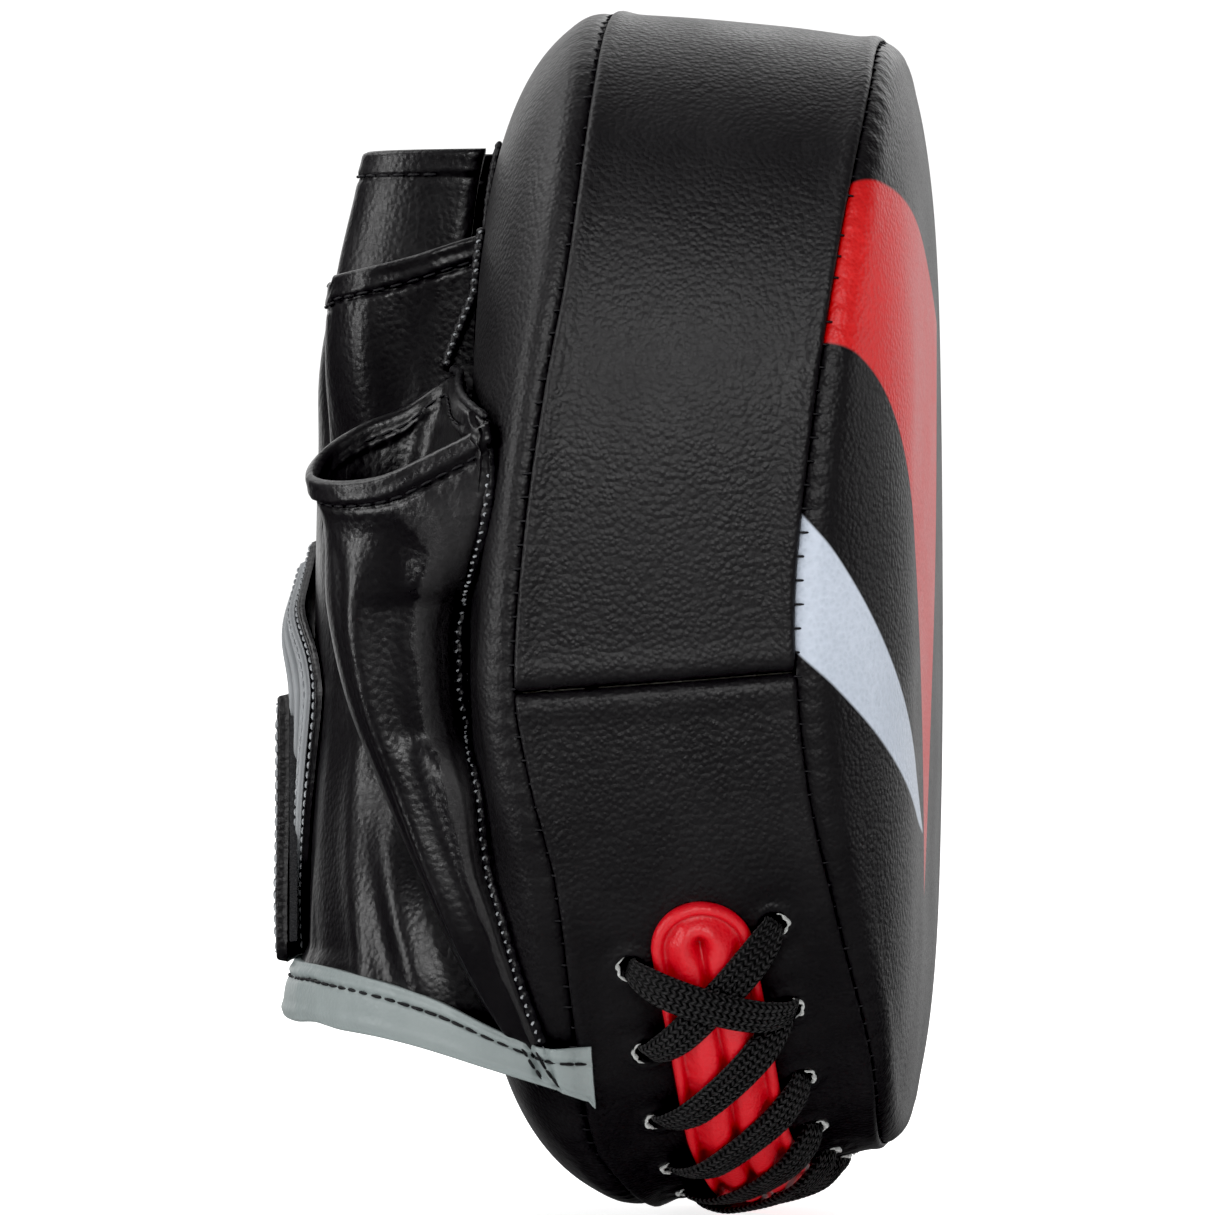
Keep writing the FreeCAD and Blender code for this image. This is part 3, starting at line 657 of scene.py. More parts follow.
# ---- tongue and lace -----------------------------------------------------------------------------------
def tongue():
    """Padded tongue with piped edges, a gathered middle and the marks of the lace."""
    end_s = TONGUE_S + 1.6
    s = np.concatenate([-end_s + 9 * (1 - np.cos(np.linspace(0, PI / 2, 40))),
                        np.linspace(-end_s + 9, end_s - 9, 440)[1:-1],
                        end_s - 9 * (1 - np.cos(np.linspace(PI / 2, 0, 40)))])
    close = np.clip(1 - (end_s - np.abs(s)) / 9.0, 0, 1)
    width = TONGUE_HALF_W * 1.02 * np.sqrt(np.clip(1 - close**2, 1e-4, 1))
    share = np.sin(np.linspace(-PI / 2, PI / 2, 65))
    across = width[:, None] * share
    edge = (1 - np.sqrt(np.clip((across / (TONGUE_HALF_W * 1.02)) ** 2 + (close**2)[:, None], 0, 1))) * 9.2
    roll = np.sqrt(np.clip(1 - ((edge - 1.15) / 1.15) ** 2, 0, 1))
    lobe = smooth(1.9, 5.6, edge)
    height = 0.5 + np.where(edge < 2.4, 1.75 * roll, 0.0)
    body = 1.15 + 2.55 * lobe
    height = np.maximum(height, np.where(edge > 1.6, body, 0.0))
    ss = np.broadcast_to(s[:, None], across.shape)
    from_end = end_s - np.abs(ss)
    height -= 2.0 * hump(across, 0.25 * np.sin(ss / 9), 0.75) * smooth(5, 8, from_end)
    height += 0.25 * hump(np.abs(across), 2.6, 1.4)
    for side in (-1, 1):
        r = np.hypot((ss - side * (end_s - 7.5)) * 0.8, across - 0.4)
        height -= 1.9 * hump(r, 0, 1.7) - 0.35 * hump(r, 3.0, 1.2)
    pull = mean_wave(TAU * ss / 3.1)
    height -= 0.20 * pull * hump(edge, 2.9, 0.8)
    p = band_place(ss, across, height)
    height += 0.10 * noise(p, 6, 21) + 0.10 * noise(p, 2.6, 22) * hump(edge, 3.6, 1.6)
    for front, back in lace_holes():
        middle = (front + back) / 2 + HOLE_PITCH / 2
        height -= 0.25 * hump(ss - across * 0.8, middle, 3.0) * lobe
    top = band_place(ss, across, height)
    low = band_place(ss, across * 0.985, np.full_like(across, 0.1))
    return sheet_solid("tongue", top, low)


def lace_runs():
    """Runs of the lace over the tongue, each as (along, across, height, width) points."""
    rise = [(0.0, -1.5, 4.4), (0.012, 0.3, 4.7), (0.05, 1.7, 5.6), (0.12, 3.0, 6.4), (0.22, 4.15, 6.9),
            (0.34, 4.6, 7.0)]           # share of the run, height, width
    shape = rise + [(0.5, 4.75, 7.0)] + [(1 - t, h, w) for t, h, w in reversed(rise)]
    front, back = zip(*lace_holes())
    runs = []

    def run(s0, a0, s1, a1, lift=0.0):
        runs.append([(s0 + (s1 - s0) * t, a0 + (a1 - a0) * t, h + lift * math.sin(PI * t) ** 0.7, w)
                     for t, h, w in shape])

    run(front[0], -HOLE_OFFSET, back[1], HOLE_OFFSET)
    run(back[0], HOLE_OFFSET, front[1], -HOLE_OFFSET - 0.9, 1.35)
    run(front[2], -HOLE_OFFSET, back[3], HOLE_OFFSET)
    run(back[2], HOLE_OFFSET, front[1], -HOLE_OFFSET + 0.9)
    for i in range(3, len(front) - 1):
        run(front[i], -HOLE_OFFSET, back[i + 1], HOLE_OFFSET)
    return runs


def lace():
    """Flat braid through the holes, crossing once near each top."""
    parts = []
    for index, nodes in enumerate(lace_runs()):
        nodes = np.array(nodes)
        key = band_place(nodes[:, 0], nodes[:, 1], nodes[:, 2])
        at = lengths(key)
        l = np.arange(0, at[-1], 0.32)
        s, across, height, width = (along(np.stack([at, nodes[:, c]], -1), l) for c in range(4))
        height = height + 0.12 * np.sin(l / 5 + index)
        ds, da = nodes[-1][0] - nodes[0][0], nodes[-1][1] - nodes[0][1]
        size = math.hypot(ds, da)
        bend = 0.5 * np.sin(PI * l / at[-1]) * (1 if index % 2 else -1)
        s, across = s - bend * da / size * 0.6, across + bend * ds / size * 0.6
        centre = band_place(s, across, height)
        forward = unit(np.gradient(centre, axis=0))
        side = band_place(s - da / size, across + ds / size, height) - centre
        side = unit(side - forward * np.sum(side * forward, -1, keepdims=True))
        up = unit(np.cross(forward, side))
        away = outward(band, arc_angle(s), np.full(len(s), 0.5))
        up = up * np.sign(np.sum(up * away, -1, keepdims=True) + 1e-9)
        q = np.linspace(-1, 1, 31)
        column = (q + 1) * 5.0
        slant = np.where(np.floor(column).astype(int) % 2 == 0, 1.0, -1.0) * (column % 1.0)
        weave = (0.13 * np.abs(np.sin(PI * column))[None]
                 * (0.62 + 0.38 * np.sin(TAU * (l[:, None] / 1.45 + 0.45 * slant[None]))))
        crown = LACE_T / 2 * np.sqrt(np.clip(1 - np.abs(q) ** 5, 0.02, 1))[None]
        cup = -0.25 * q[None] ** 2 * smooth(4, 7, width)[:, None]
        lateral = side[:, None] * (width[:, None] / 2 * q)[..., None]
        top = centre[:, None] + lateral + up[:, None] * (crown + weave + cup)[..., None]
        low = centre[:, None] + lateral - up[:, None] * (crown - cup)[..., None]
        rings = np.concatenate([top, low[:, ::-1][:, 1:-1]], 1)
        obj = closed_grid(f"lace_{index}", rings, wrap_cols=True, caps=True)
        layer = obj.data.uv_layers.active.data
        loops = np.empty(len(obj.data.loops), np.int32)
        obj.data.loops.foreach_get("vertex_index", loops)
        ring = rings.shape[1]
        u = np.concatenate([q, q[::-1][1:-1]])[loops % ring] * 3.5
        layer.foreach_set("uv", np.stack([l[loops // ring], u], -1).astype(np.float32).ravel())
        parts.append(obj)
    return join("lace", parts)


def hole_edges():
    """Pale torn edges of the punched holes."""
    parts = []
    for k, (front, back) in enumerate(lace_holes()):
        for s, across in ((front, -HOLE_OFFSET), (back, HOLE_OFFSET)):
            a = np.linspace(-1.25, 1.25, 30) + (PI / 2 if across > 0 else -PI / 2) + 0.35 * math.sin(3.1 * k)
            r = HOLE_R * (0.95 + 0.05 * np.sin(3 * a + k) + 0.05 * np.sin(7 * a + 2 * k))
            ring = band_place(s + r * np.cos(a), across + r * np.sin(a), 0.02 + 0.10 * np.sin(5 * a + k))
            up = outward(band, arc_angle(np.full(30, s)), np.full(30, 0.5))
            ragged = 0.8 + 0.7 * np.abs(np.sin(2.5 * a + k)) + 0.35 * np.sin(11 * a)
            scale = ragged * np.sin(np.linspace(0.15, PI - 0.15, 30))
            parts.append(sweep("edge", ring, up, round_profile(0.26, 0.42, 7), scale=scale))
    return join("punched_edges", parts)


# ---- glove ---------------------------------------------------------------------------------------------
# half widths of the glove on the thumb side and the far side, and its crest, by height
NEAR = [(18, 60.5), (26, 64.5), (40, 67.5), (56, 65.0), (70, 59.0), (84, 54.0), (100, 50.5), (120, 48.0),
        (153, 47.2), (182, 47.8), (196, 45.0), (205, 43.5)]
FAR = [(20, 57.5), (30, 56.5), (45, 54.0), (80, 53.5), (100, 53.0), (125, 49.0), (153, 46.0), (205, 43.0)]
CREST = [(18, 58.4), (40, 58.0), (46, 56.4), (50, 54.7), (98, 54.2), (125, 54.2), (150, 53.4), (160, 52.4),
         (171, 50.4), (179, 48.9), (197, 44.6), (204, 43.4)]
SHEET = 1.8                                       # glove leather
HEM_STITCH = 4.75                                 # stitches of the finger hems, below their edge
FINGER_X = (-31.5, -10.5, 10.5, 31.5)
SLIT_X = (-21.0, 0.0, 21.0)                       # slits between the finger stalls
FORK_Z = 157.0                                    # height at which the finger stalls part
CUFF_TOP = [(-90, 26.5), (-70, 30.0), (-60, 37.5), (-50, 41.0), (-30, 43.5), (0, 45.5), (30, 43.5),
            (50, 40.0), (60, 32.0)]               # lower edge of the leather, by place across


def arch(angle, z, out, near, far, crest, power=2.4, base=None):
    """Superellipse arch over the hand side: angle 0 at the thumb side, pi at the far side."""
    near, far, crest = (np.asarray(k, float) for k in (near, far, crest))
    if base is None:
        share = (1 - np.cos(angle)) / 2
        base = back_depth(-near - 2, z) * (1 - share) + back_depth(far + 2, z) * share
        base = np.minimum(base, BACK_Y) + 0.3
    half = np.where(np.cos(angle) > 0, near, far) + out
    r = reach(angle - PI / 2, half, crest + out - base, power)
    return np.stack([-r * np.cos(angle), base + r * np.sin(angle), z + 0 * r], -1)


def fold_lines(points, z):
    """Pulled folds of the thumb side of the glove, between the closure and the thumb."""
    y, height = points[..., 1], 0
    near = smooth(-30, -38, points[..., 0])
    for table, low, high, size, width in (
            ([(40, 49.5), (70, 50.0), (95, 49.6), (120, 49.5), (150, 47.0)], 36, 126, 1.3, 4.2),
            ([(36, 40.0), (60, 41.5), (88, 41.5), (110, 38.0)], 34, 92, 1.5, 2.8),
            ([(36, 27.0), (55, 33.0), (75, 37.0)], 30, 76, 1.3, 3.4),
            ([(126, 42.0), (150, 42.0), (166, 40.0), (180, 38.0)], 126, 172, 1.2, 4.6),
            ([(120, 30.0), (150, 31.0), (180, 27.0)], 132, 178, 0.6, 3.6)):
        ridge = along(table, z) + 0.8 * np.sin(z / 9.0)
        strength = smooth(low - 8, low + 8, z) * smooth(high + 9, high - 9, z)
        wave = hump(y, ridge, width) - 0.55 * hump(y, ridge - 1.9 * width, width * 1.1)
        height = height + near * strength * size * wave
    return height


def finger_x(angle):
    """Where a column of the glove lies across the fingers."""
    return arch(angle, np.full_like(angle, 170.0), 0, 44.6, 44.6, 48.0, base=20.3)[..., 0]


def glove_point(angle, z):
    """Leather of the glove back: one arch at the hand that divides into four finger stalls."""
    squareness = 2.4 + 2.2 * smooth(140, 172, z)
    p = arch(angle, z, 0.0, along(NEAR, z), along(FAR, z), along(CREST, z), squareness)
    x, y, across = p[..., 0], p[..., 1], finger_x(angle)
    floor = np.minimum(back_depth(x, z), BACK_Y) + 0.5
    valley = smooth(122, FORK_Z + 4, z)
    power = 3.6 - 1.5 * smooth(130, 185, z)
    gap = np.min(np.abs(across[..., None] - np.array(SLIT_X)), -1) / 10.5
    shape = (1 - np.clip(1 - gap, 0, 1) ** power) ** (1 / power)
    lift = valley * (1 - shape) * (0.35 + 0.65 * smooth(140, FORK_Z + 6, z))
    p[..., 1] = y - (y - floor) * lift
    return p


def mouth_z(x, y):
    """Height of the finger openings."""
    finger = np.clip(np.floor((x + 42) / 21), 0, 3).astype(int)
    top = np.array([172.5, 197.6, 193.0, 178.0])[finger]
    middle = np.array(FINGER_X)[finger]
    down = np.clip(1 - (y - 21) / 24, 0, 1)
    index = along([(17, 181.6), (24, 179.4), (32, 176.4), (40, 173.8), (47, 172.6)], y)
    return np.where((finger == 0) & (x < middle), index, top + np.where(finger == 0, 5.0, 2.0) * down**1.3
                    - 0.8 * hump(y, 38, 8))


def glove_sheet():
    """Back of the glove with its wrist part and finger stalls, open at the wrist and at each finger."""
    slits = []
    for x in SLIT_X:                              # columns right beside each slit
        a = np.linspace(0.2, PI - 0.2, 4001)
        at = a[np.argmin(np.abs(finger_x(a) - x))]
        slits += [at - 0.0009, at + 0.0009]
    base = np.concatenate([np.linspace(0, 0.35, 70), np.linspace(0.35, PI - 0.35, 330)[1:-1],
                           np.linspace(PI - 0.35, PI, 50)])
    clear = np.min(np.abs(base[:, None] - np.array(slits)), 1) > 0.003
    angles = np.sort(np.concatenate([base[clear], slits]))
    left_of = [int(np.argmin(np.abs(angles - s))) for s in slits[::2]]
    low_rows, high_rows = 150, 66
    probe = arch(angles, np.full(len(angles), 176.0), 0, 44.6, 44.6, 47.0, base=20.3)
    top = mouth_z(finger_x(angles), probe[:, 1])
    wrist = np.interp(probe[:, 0] * 1.36, *np.array(CUFF_TOP).T) - 4.5
    t = np.linspace(0, 1, low_rows)
    z = np.concatenate([wrist[:, None] + (FORK_Z - wrist[:, None]) * t,
                        FORK_Z + (top[:, None] - FORK_Z) * (np.linspace(0, 1, high_rows + 1)[1:] ** 0.8)], 1)
    a = np.broadcast_to(angles[:, None], z.shape)
    p = glove_point(a, z)
    du, dv = glove_point(a + 1e-3, z) - p, glove_point(a, z + 0.05) - p
    n = unit(np.cross(du, dv))
    inside = np.stack([0 * z, 30 + 0 * z, z], -1)
    n *= np.sign(np.sum(n * (p - inside), -1, keepdims=True) + 1e-9)
    height = fold_lines(p, z)
    slack = smooth(24, 30, p[..., 1])
    height += slack * (0.55 * noise(p * [1, 1, 0.25], 17, 31) + 0.08 * noise(p * [1, 1, 0.4], 8, 32))
    height += slack * 0.35 * noise(p * [1, 1, 0.6], 12, 34) * smooth(FORK_Z - 20, FORK_Z + 6, z)
    below = top[:, None] - z
    pull = mean_wave(TAU * (p[..., 0] + p[..., 1]) / 3.4)
    hem = smooth(5.2, 4.3, below)
    height += (1.05 * hem * (1 - 0.25 * hump(below, 2.4, 1.2))
               - 0.75 * hump(below, 4.9, 0.8) * (0.6 + 0.4 * pull))
    height += 0.12 * pull * hump(below, 6.2, 1.6) + 0.16 * noise(p, 4.0, 35) * hem
    foot = np.exp(-np.minimum(p[..., 1] - p[:, :, 1].min(1)[:, None], 30) / 2.4)
    height *= 1 - 0.85 * foot
    outer = p + n * height[..., None]
    rim = rounded(below, 1.1)
    thick = (SHEET + 0.9 * hem) * (0.25 + 0.75 * rim)
    outer = outer - n * ((1 - rim) * 0.8)[..., None]
    inner = outer - n * thick[..., None]
    slit_cells = {(c, r) for c in left_of for r in range(low_rows, z.shape[1] - 1)}
    obj = cut_sheet("glove_back", outer, inner, lambda i, j: (i, j) in slit_cells)
    hems = []
    cut = [0] + [c + 1 for c in left_of] + [len(z)]
    for k in range(4):                            # stitched line below each finger's edge
        part = slice(cut[k] + (6 if k == 0 else 3), cut[k + 1] - 3)
        path, up = (on_line(grid[part], below[part], HEM_STITCH) for grid in (outer, n))
        hems.append(stitch_line(path + up * 0.12, up, 3.3, 0.72, 0.27))
    return obj, join("hem_stitches", hems)


def stitch_line(path, normals, pitch, share=0.7, radius=0.25, arch_mm=0.2):
    """Row of running stitches along a path."""
    middle, up = resample(path, pitch, normals)
    up = unit(up)
    ahead = unit(np.gradient(middle, axis=0)) * pitch * share / 2
    return threads("stitches", middle - ahead, middle + ahead, up, radius, arch_mm)


def spline(points, count):
    """Smooth path through points."""
    points = np.asarray(points, float)
    at = lengths(points)
    t = np.linspace(0, at[-1], count)
    return np.stack([along(np.stack([at, points[:, k]], -1), t) for k in range(points.shape[1])], -1)


# depth of the thumb stall's outer line and of its seam on the pad, by height, and the line of its opening
THUMB_OUT = [(24, 6.0), (29, 9.5), (47.8, 20.6), (64.7, 28.4), (81.4, 36.0), (95.1, 41.4), (109.4, 44.8),
             (121.8, 46.2), (133.2, 47.6), (140, 48.0)]
THUMB_SEAM = [(22, 0.5), (28.1, 3.2), (42.2, 8.4), (57.2, 12.8), (65.7, 15.2), (79, 16.6), (88.6, 19.2),
              (95, 20.6), (102.8, 21.0), (109.4, 20.8), (117, 17.9), (126.8, 14.7), (135.5, 13.6), (145, 14.5)]
THUMB_MOUTH = [(-84.5, 14.0, 145.6), (-83.5, 17.6, 143.2), (-82.0, 25.0, 139.6), (-80.0, 33.7, 135.9),
               (-75.0, 42.6, 135.0), (-67, 47.9, 136.4), (-58, 46.8, 141.0), (-53, 40.5, 145.6),
               (-50.5, 33.0, 148.8), (-50.0, 27.5, 152.4), (-53, 23.0, 154.4), (-63, 21.2, 152.8),
               (-73, 20.0, 150.6), (-80, 17.4, 148.2)]
THUMB_MIDDLE = [(20, -64.0), (30, -67.0), (45, -70.0), (62, -69.0), (80, -66.5), (110, -65.0), (145, -64.0)]
THUMB_HALF_W = [(20, 2.4), (30, 3.4), (45, 6.5), (60, 9.5), (90, 12.2), (120, 13.2), (145, 13.8)]


def thumb_rings(cols=180):
    """Rings of points round the thumb stall from the wrist to its slanting opening."""
    theta = np.arange(cols) * TAU / cols          # 0 at the seam, then round the thumb's outer side
    mouth = spline(THUMB_MOUTH + THUMB_MOUTH[:1], cols + 1)[:-1]
    levels = np.concatenate([np.linspace(25.5, 119, 118), np.linspace(119, 139, 32)[1:]])
    rings = []
    for zz in levels:
        tilt = smooth(90, 138, zz)
        z_right = zz + 5.5 * tilt
        left = np.array([float(along(THUMB_OUT, zz)), zz])
        right = np.array([float(along(THUMB_SEAM, z_right)), z_right])
        cx, hx = along(THUMB_MIDDLE, zz), along(THUMB_HALF_W, zz)
        c, s = np.cos(theta), np.sin(theta)
        power = 2 / (2.3 - 0.3 * tilt)
        c, s = np.sign(c) * np.abs(c) ** power, np.sign(s) * np.abs(s) ** power
        yz = (left + right) / 2 + (right - left) / 2 * c[:, None]
        seam_x = -float(side_x(np.array([min(right[0] + 0.3, 19.6)]), np.array([right[1]]))[0]) - 0.6
        x = cx - hx * s + (seam_x - cx) * (0.5 + 0.5 * c) ** 3
        rings.append(np.stack([x, yz[:, 0], yz[:, 1]], -1))
    rings = np.array(rings)
    blend = smooth(112, 139, levels)[:, None, None] ** 1.4
    shift = mouth - rings[-1]
    return rings + shift * blend, levels, theta


def thumb():
    """Thumb stall with its hem, folds and scuffed strip, and the stitches of the hem."""
    rings, levels, theta = thumb_rings()
    rows, cols = rings.shape[:2]
    du = np.roll(rings, -1, 1) - np.roll(rings, 1, 1)
    dv = np.gradient(rings, axis=0)
    n = unit(np.cross(du, dv))
    n *= np.sign(np.sum(n * (rings - rings.mean(1, keepdims=True)), -1, keepdims=True) + 1e-9)
    step = np.linalg.norm(np.diff(rings, axis=0), axis=-1)
    below = np.concatenate([np.cumsum(step[::-1], 0)[::-1], np.zeros((1, cols))])
    side = np.cos(theta)[None]
    front = np.sin(theta)[None] > 0
    z = levels[:, None]
    height = 0.30 * noise(rings * [1, 1, 0.25], 14, 41) + 0.06 * noise(rings * [1, 1, 0.5], 6, 42)
    hollow = np.where(front, hump(side, 0.10 + 0.15 * np.sin(z / 19), 0.33), 0)
    height -= 1.5 * hollow * smooth(132, 118, z) * smooth(30, 60, z)
    height += 0.7 * np.where(front, hump(side, -0.55, 0.22), 0) * smooth(130, 110, z)
    strip = np.where(front, smooth(0.62, 0.80, side), 0) * smooth(138, 128, z)
    height -= strip * (0.45 + 0.12 * noise(rings, 4.0, 43))
    height -= 0.9 * hump(np.abs(theta[None] - PI) * 12, 9.5, 1.6) * smooth(128, 120, z) * 0.4
    hem = smooth(5.4, 4.5, below)
    pull = mean_wave(TAU * np.cumsum(np.linalg.norm(du, axis=-1) / 2, 1) / 3.6)
    height += (1.15 * hem * (1 - 0.15 * hump(below, 2.4, 1.2))
               - 0.8 * hump(below, 5.1, 0.8) * (0.6 + 0.4 * pull))
    height += 0.12 * noise(rings, 4, 45) * hem + 0.12 * pull * hump(below, 6.5, 1.5)
    outer = rings + n * height[..., None]
    rim = rounded(below, 1.3)
    outer = outer - n * ((1 - rim) * 1.1)[..., None]
    inner = outer - n * ((SHEET + 1.1 * hem) * (0.15 + 0.85 * rim))[..., None]
    grid = np.concatenate([outer, inner[::-1]])
    faces = grid_faces(2 * rows, cols, wrap_rows=True, wrap_cols=True)
    uv = np.stack(np.broadcast_arrays(np.where(front, side, 3.0), z), -1)
    obj = make_object("thumb_stall_skin", grid, faces, np.concatenate([uv, uv[::-1]]))
    path, up, inside = (on_line(grid.transpose(1, 0, 2), below.T, depth)
                        for grid, depth in ((outer, 5.0), (n, 5.0), (inner, 4.0)))
    seen, seen_in = slice(4, cols - 2), slice(95, cols - 12)
    hem = stitch_line(path[seen] + up[seen] * 0.1, up[seen], 3.3, 0.72, 0.28)
    hem_in = stitch_line(inside[seen_in] - up[seen_in] * 0.15, -up[seen_in], 3.3, 0.72, 0.25)
    return obj, join("thumb_stitches", [hem, hem_in])


def beads(name, path, normals, pitch):
    """Row of small light thread loops over a seam."""
    middle, up = resample(path, pitch, normals)
    up = unit(up)
    tangent, side, up = path_frames(middle, up)
    k = np.arange(len(middle))
    middle = middle + side * (0.14 * np.sin(k * 2.9) + 0.10 * np.sin(k * 1.3))[:, None]
    lean = (side * (0.34 + 0.16 * np.sin(k * 1.7))[:, None]
            + tangent * (0.44 + 0.14 * np.sin(k * 2.1))[:, None])
    return threads(name, middle - lean * 0.6, middle + lean * 0.6, up, 0.22, 0.26)


def welt(name, path, normals, width, height):
    """Rolled leather edge along a seam, thinner towards its ends."""
    k = np.arange(len(path))
    scale = (1 + 0.10 * np.sin(k * 0.9) + 0.06 * np.sin(k * 2.3)) * smooth(-2, 3, np.minimum(k, k[::-1]))
    return sweep(name, path, normals, round_profile(width, height, 12, 2.3), scale=scale)


def seam_pieces():
    """Welts and thread beads where the glove and the thumb are sewn to the pad."""
    z = np.linspace(181.6, 156.0, 110)
    seam_y = along([(156, 25.2), (158, 24.8), (162, 23.3), (169, 20.4), (182, 15.0)], z)
    y = np.maximum(seam_y, back_depth(48.7, z) + 0.6)
    fingers = np.stack([np.full(110, -48.7), y, z], -1)
    z = np.linspace(198.6, 181.0, 60)
    middle = np.stack([np.full(60, -23.8), back_depth(23.8, z) + 0.7, z], -1)
    web = spline([(-50.0, 24.2, 155.8), (-56, 22.0, 154.8), (-64, 21.4, 153.2), (-73, 20.2, 151.0),
                  (-80, 17.8, 148.6), (-84.6, 14.2, 146.2)], 60)
    z = np.linspace(145.8, 29.5, 300)
    y = along(THUMB_SEAM, z)
    x = -side_x(np.minimum(y + 0.2, 19.6), z) - 1.6
    thumb_path = np.stack([x, y, z], -1)
    welts, rows = [], []
    up = unit(np.array([-0.82, 0.57, 0.0]))
    for path, w, beaded in ((fingers, 1.0, True), (web, 0.8, False), (thumb_path, 1.15, True),
                            (middle, 0.7, False)):
        normals = np.broadcast_to(up, path.shape)
        welts.append(welt("welt", path, normals, w, w * 0.95))
        if beaded:
            _, side, lift = path_frames(path, normals)
            sign = np.sign(side[len(side) // 2, 1])
            rows.append(beads("beads", path - side * sign * 0.55 + lift * w * 0.92, lift, 1.75))
    return join("seam_welt", welts), join("seam_thread", rows)


# ---- cuff binding --------------------------------------------------------------------------------------
# heights of the binding's two edges, by depth
BIND_TOP = [(-6, 32.6), (-1, 32.4), (4, 32.2), (8, 33.2), (12, 35.4), (20.6, 40.4), (31, 43.8), (44, 46.0),
            (57, 46.2)]
BIND_LOW = [(-6, 22.0), (-3, 22.0), (1.7, 23.4), (6.5, 25.1), (12, 27.4), (22, 31.2), (34.5, 34.9),
            (45, 36.6), (52, 37.0), (57, 38.6)]
BIND_END_Y, BIND_END_U, BIND_W = -3.6, 0.86, 9.6  # depth of its ends, their u past the glove, its width
BIND_CROSS = (6.8, 3.6)                           # depths of the cross seams near the pad


def binding_point(u, t, out):
    """u: below 0 on the pad's shoulder, 0 to pi round the glove, above pi on the far shoulder."""
    u, t, out = np.broadcast_arrays(np.asarray(u, float), np.asarray(t, float), np.asarray(out, float))
    a = np.clip(u, 0, PI)
    probe = arch(a, np.full(u.shape, 32.0), 0, along(NEAR, 32.0), along(FAR, 32.0), 55.0)
    extra = np.where(u < 0, -u, np.where(u > PI, u - PI, 0.0))
    y_line = probe[..., 1] + (BIND_END_Y - probe[..., 1]) * extra / BIND_END_U
    low, high = along(BIND_LOW, y_line), along(BIND_TOP, y_line)
    wave = 0.9 * np.sin(y_line / 3.1) * smooth(40, 50, y_line) + 0.35 * np.sin(probe[..., 0] / 6.3)
    z = low + (high - low) * t + wave * (1 - t)
    p = arch(a, z, out, along(NEAR, z), along(FAR, z), along(CREST, z))
    on_pad = np.clip(extra / 0.10, 0, 1)
    y = p[..., 1] + (BIND_END_Y - p[..., 1]) * extra / BIND_END_U
    rest = side_x(np.clip(y, along(BACK_SEAM, z) + 0.9, 19.0), z, 40.0, 91.0) + 0.2 + out
    side = np.where(u < PI / 2, -1.0, 1.0)
    x = p[..., 0] * (1 - on_pad) + side * rest * on_pad
    over_thumb = 4.2 * smooth(30, 16, y) * smooth(-4, 3, y) * (side < 0)
    return np.stack([x - over_thumb, y, z], -1)


def binding():
    """Folded leather strip sewn over the wrist edge of the glove."""
    u = np.concatenate([np.linspace(-BIND_END_U, 0, 130), np.linspace(0, PI, 520)[1:],
                        np.linspace(PI, PI + BIND_END_U, 130)[1:]])
    t = np.concatenate([np.linspace(-0.10, 0.06, 9), np.linspace(0.06, 0.94, 44)[1:],
                        np.linspace(0.94, 1.06, 9)[1:]])
    uu, tt = np.meshgrid(u, t, indexing="ij")
    ss = tt.clip(0, 1)
    base = binding_point(uu, ss, np.zeros_like(uu))
    d = binding_point(uu, ss, np.full_like(uu, 1.0)) - base
    n = unit(d)
    mm = ss * BIND_W
    y = base[..., 1]
    body = 1.5 + 0.35 * np.sin(PI * ss) + 0.5 * hump(mm, 1.1, 1.2) + 0.35 * hump(mm, 8.6, 0.9)
    pull = mean_wave(TAU * np.cumsum(np.linalg.norm(np.gradient(base, axis=0), axis=-1), 0) / 3.4)
    body -= 0.8 * hump(mm, 7.15, 0.55) * (0.55 + 0.45 * pull)
    body += 0.20 * noise(base, 7, 51) + 0.14 * noise(base * [1, 1, 0.6], 3.2, 52)
    body += 0.22 * noise(base * [1, 1, 0.15], 2.6, 53) * hump(mm, 8.2, 1.6)
    for at in BIND_CROSS:
        body -= 0.85 * hump(y, at + 0.35 * (mm - 5) * 0.4, 0.55) * (base[..., 0] < 0)
    past = np.maximum(-tt, tt - 1).clip(0, None)
    roll = np.sqrt(np.clip(1 - (past / 0.11) ** 2, 0, 1))
    lift = past * BIND_W
    outer = base + n * (body * roll)[..., None]
    outer[..., 2] += np.where(tt > 0.5, lift * 0.9, -lift * 0.9)
    inner = base - n * (0.35 + 1.7 * roll * (tt < 0.30))[..., None]
    inner[..., 2] += np.where(tt > 0.5, lift * 0.9, -lift * 0.9)
    obj = sheet_solid("cuff_edge_binding", outer, inner)
    row = int(np.argmin(np.abs(t - 0.745)))
    thread = stitch_line(outer[8:-8, row] + n[8:-8, row] * 0.05, n[8:-8, row], 3.2, 0.8, 0.27)
    cross = []
    for at in BIND_CROSS:
        col = int(np.argmin(np.abs(np.where(u < 1, base[:, 20, 1], 99) - at)))
        cross.append(stitch_line(outer[col, 8:-8] + n[col, 8:-8] * 0.05, n[col, 8:-8], 2.6, 0.8, 0.27))
    return obj, join("binding_stitches", [thread] + cross)


# ---- closure -------------------------------------------------------------------------------------------
def closure_point(angle, z, out):
    """Point of the closure, out millimetres over the glove."""
    near = along(NEAR, z)
    near = near + (66.0 - near) * smooth(0.8, 1.5, angle)
    crest = np.minimum(along(CREST, z), 54.4)
    swell = 1.5 * hump(z, 108, 8.5) * smooth(0.85, 1.25, angle) * smooth(2.65, 2.35, angle)
    return arch(angle, z, np.asarray(out, float) + 0.35 + swell, near, 54.3, crest, base=BACK_Y + 0.3)


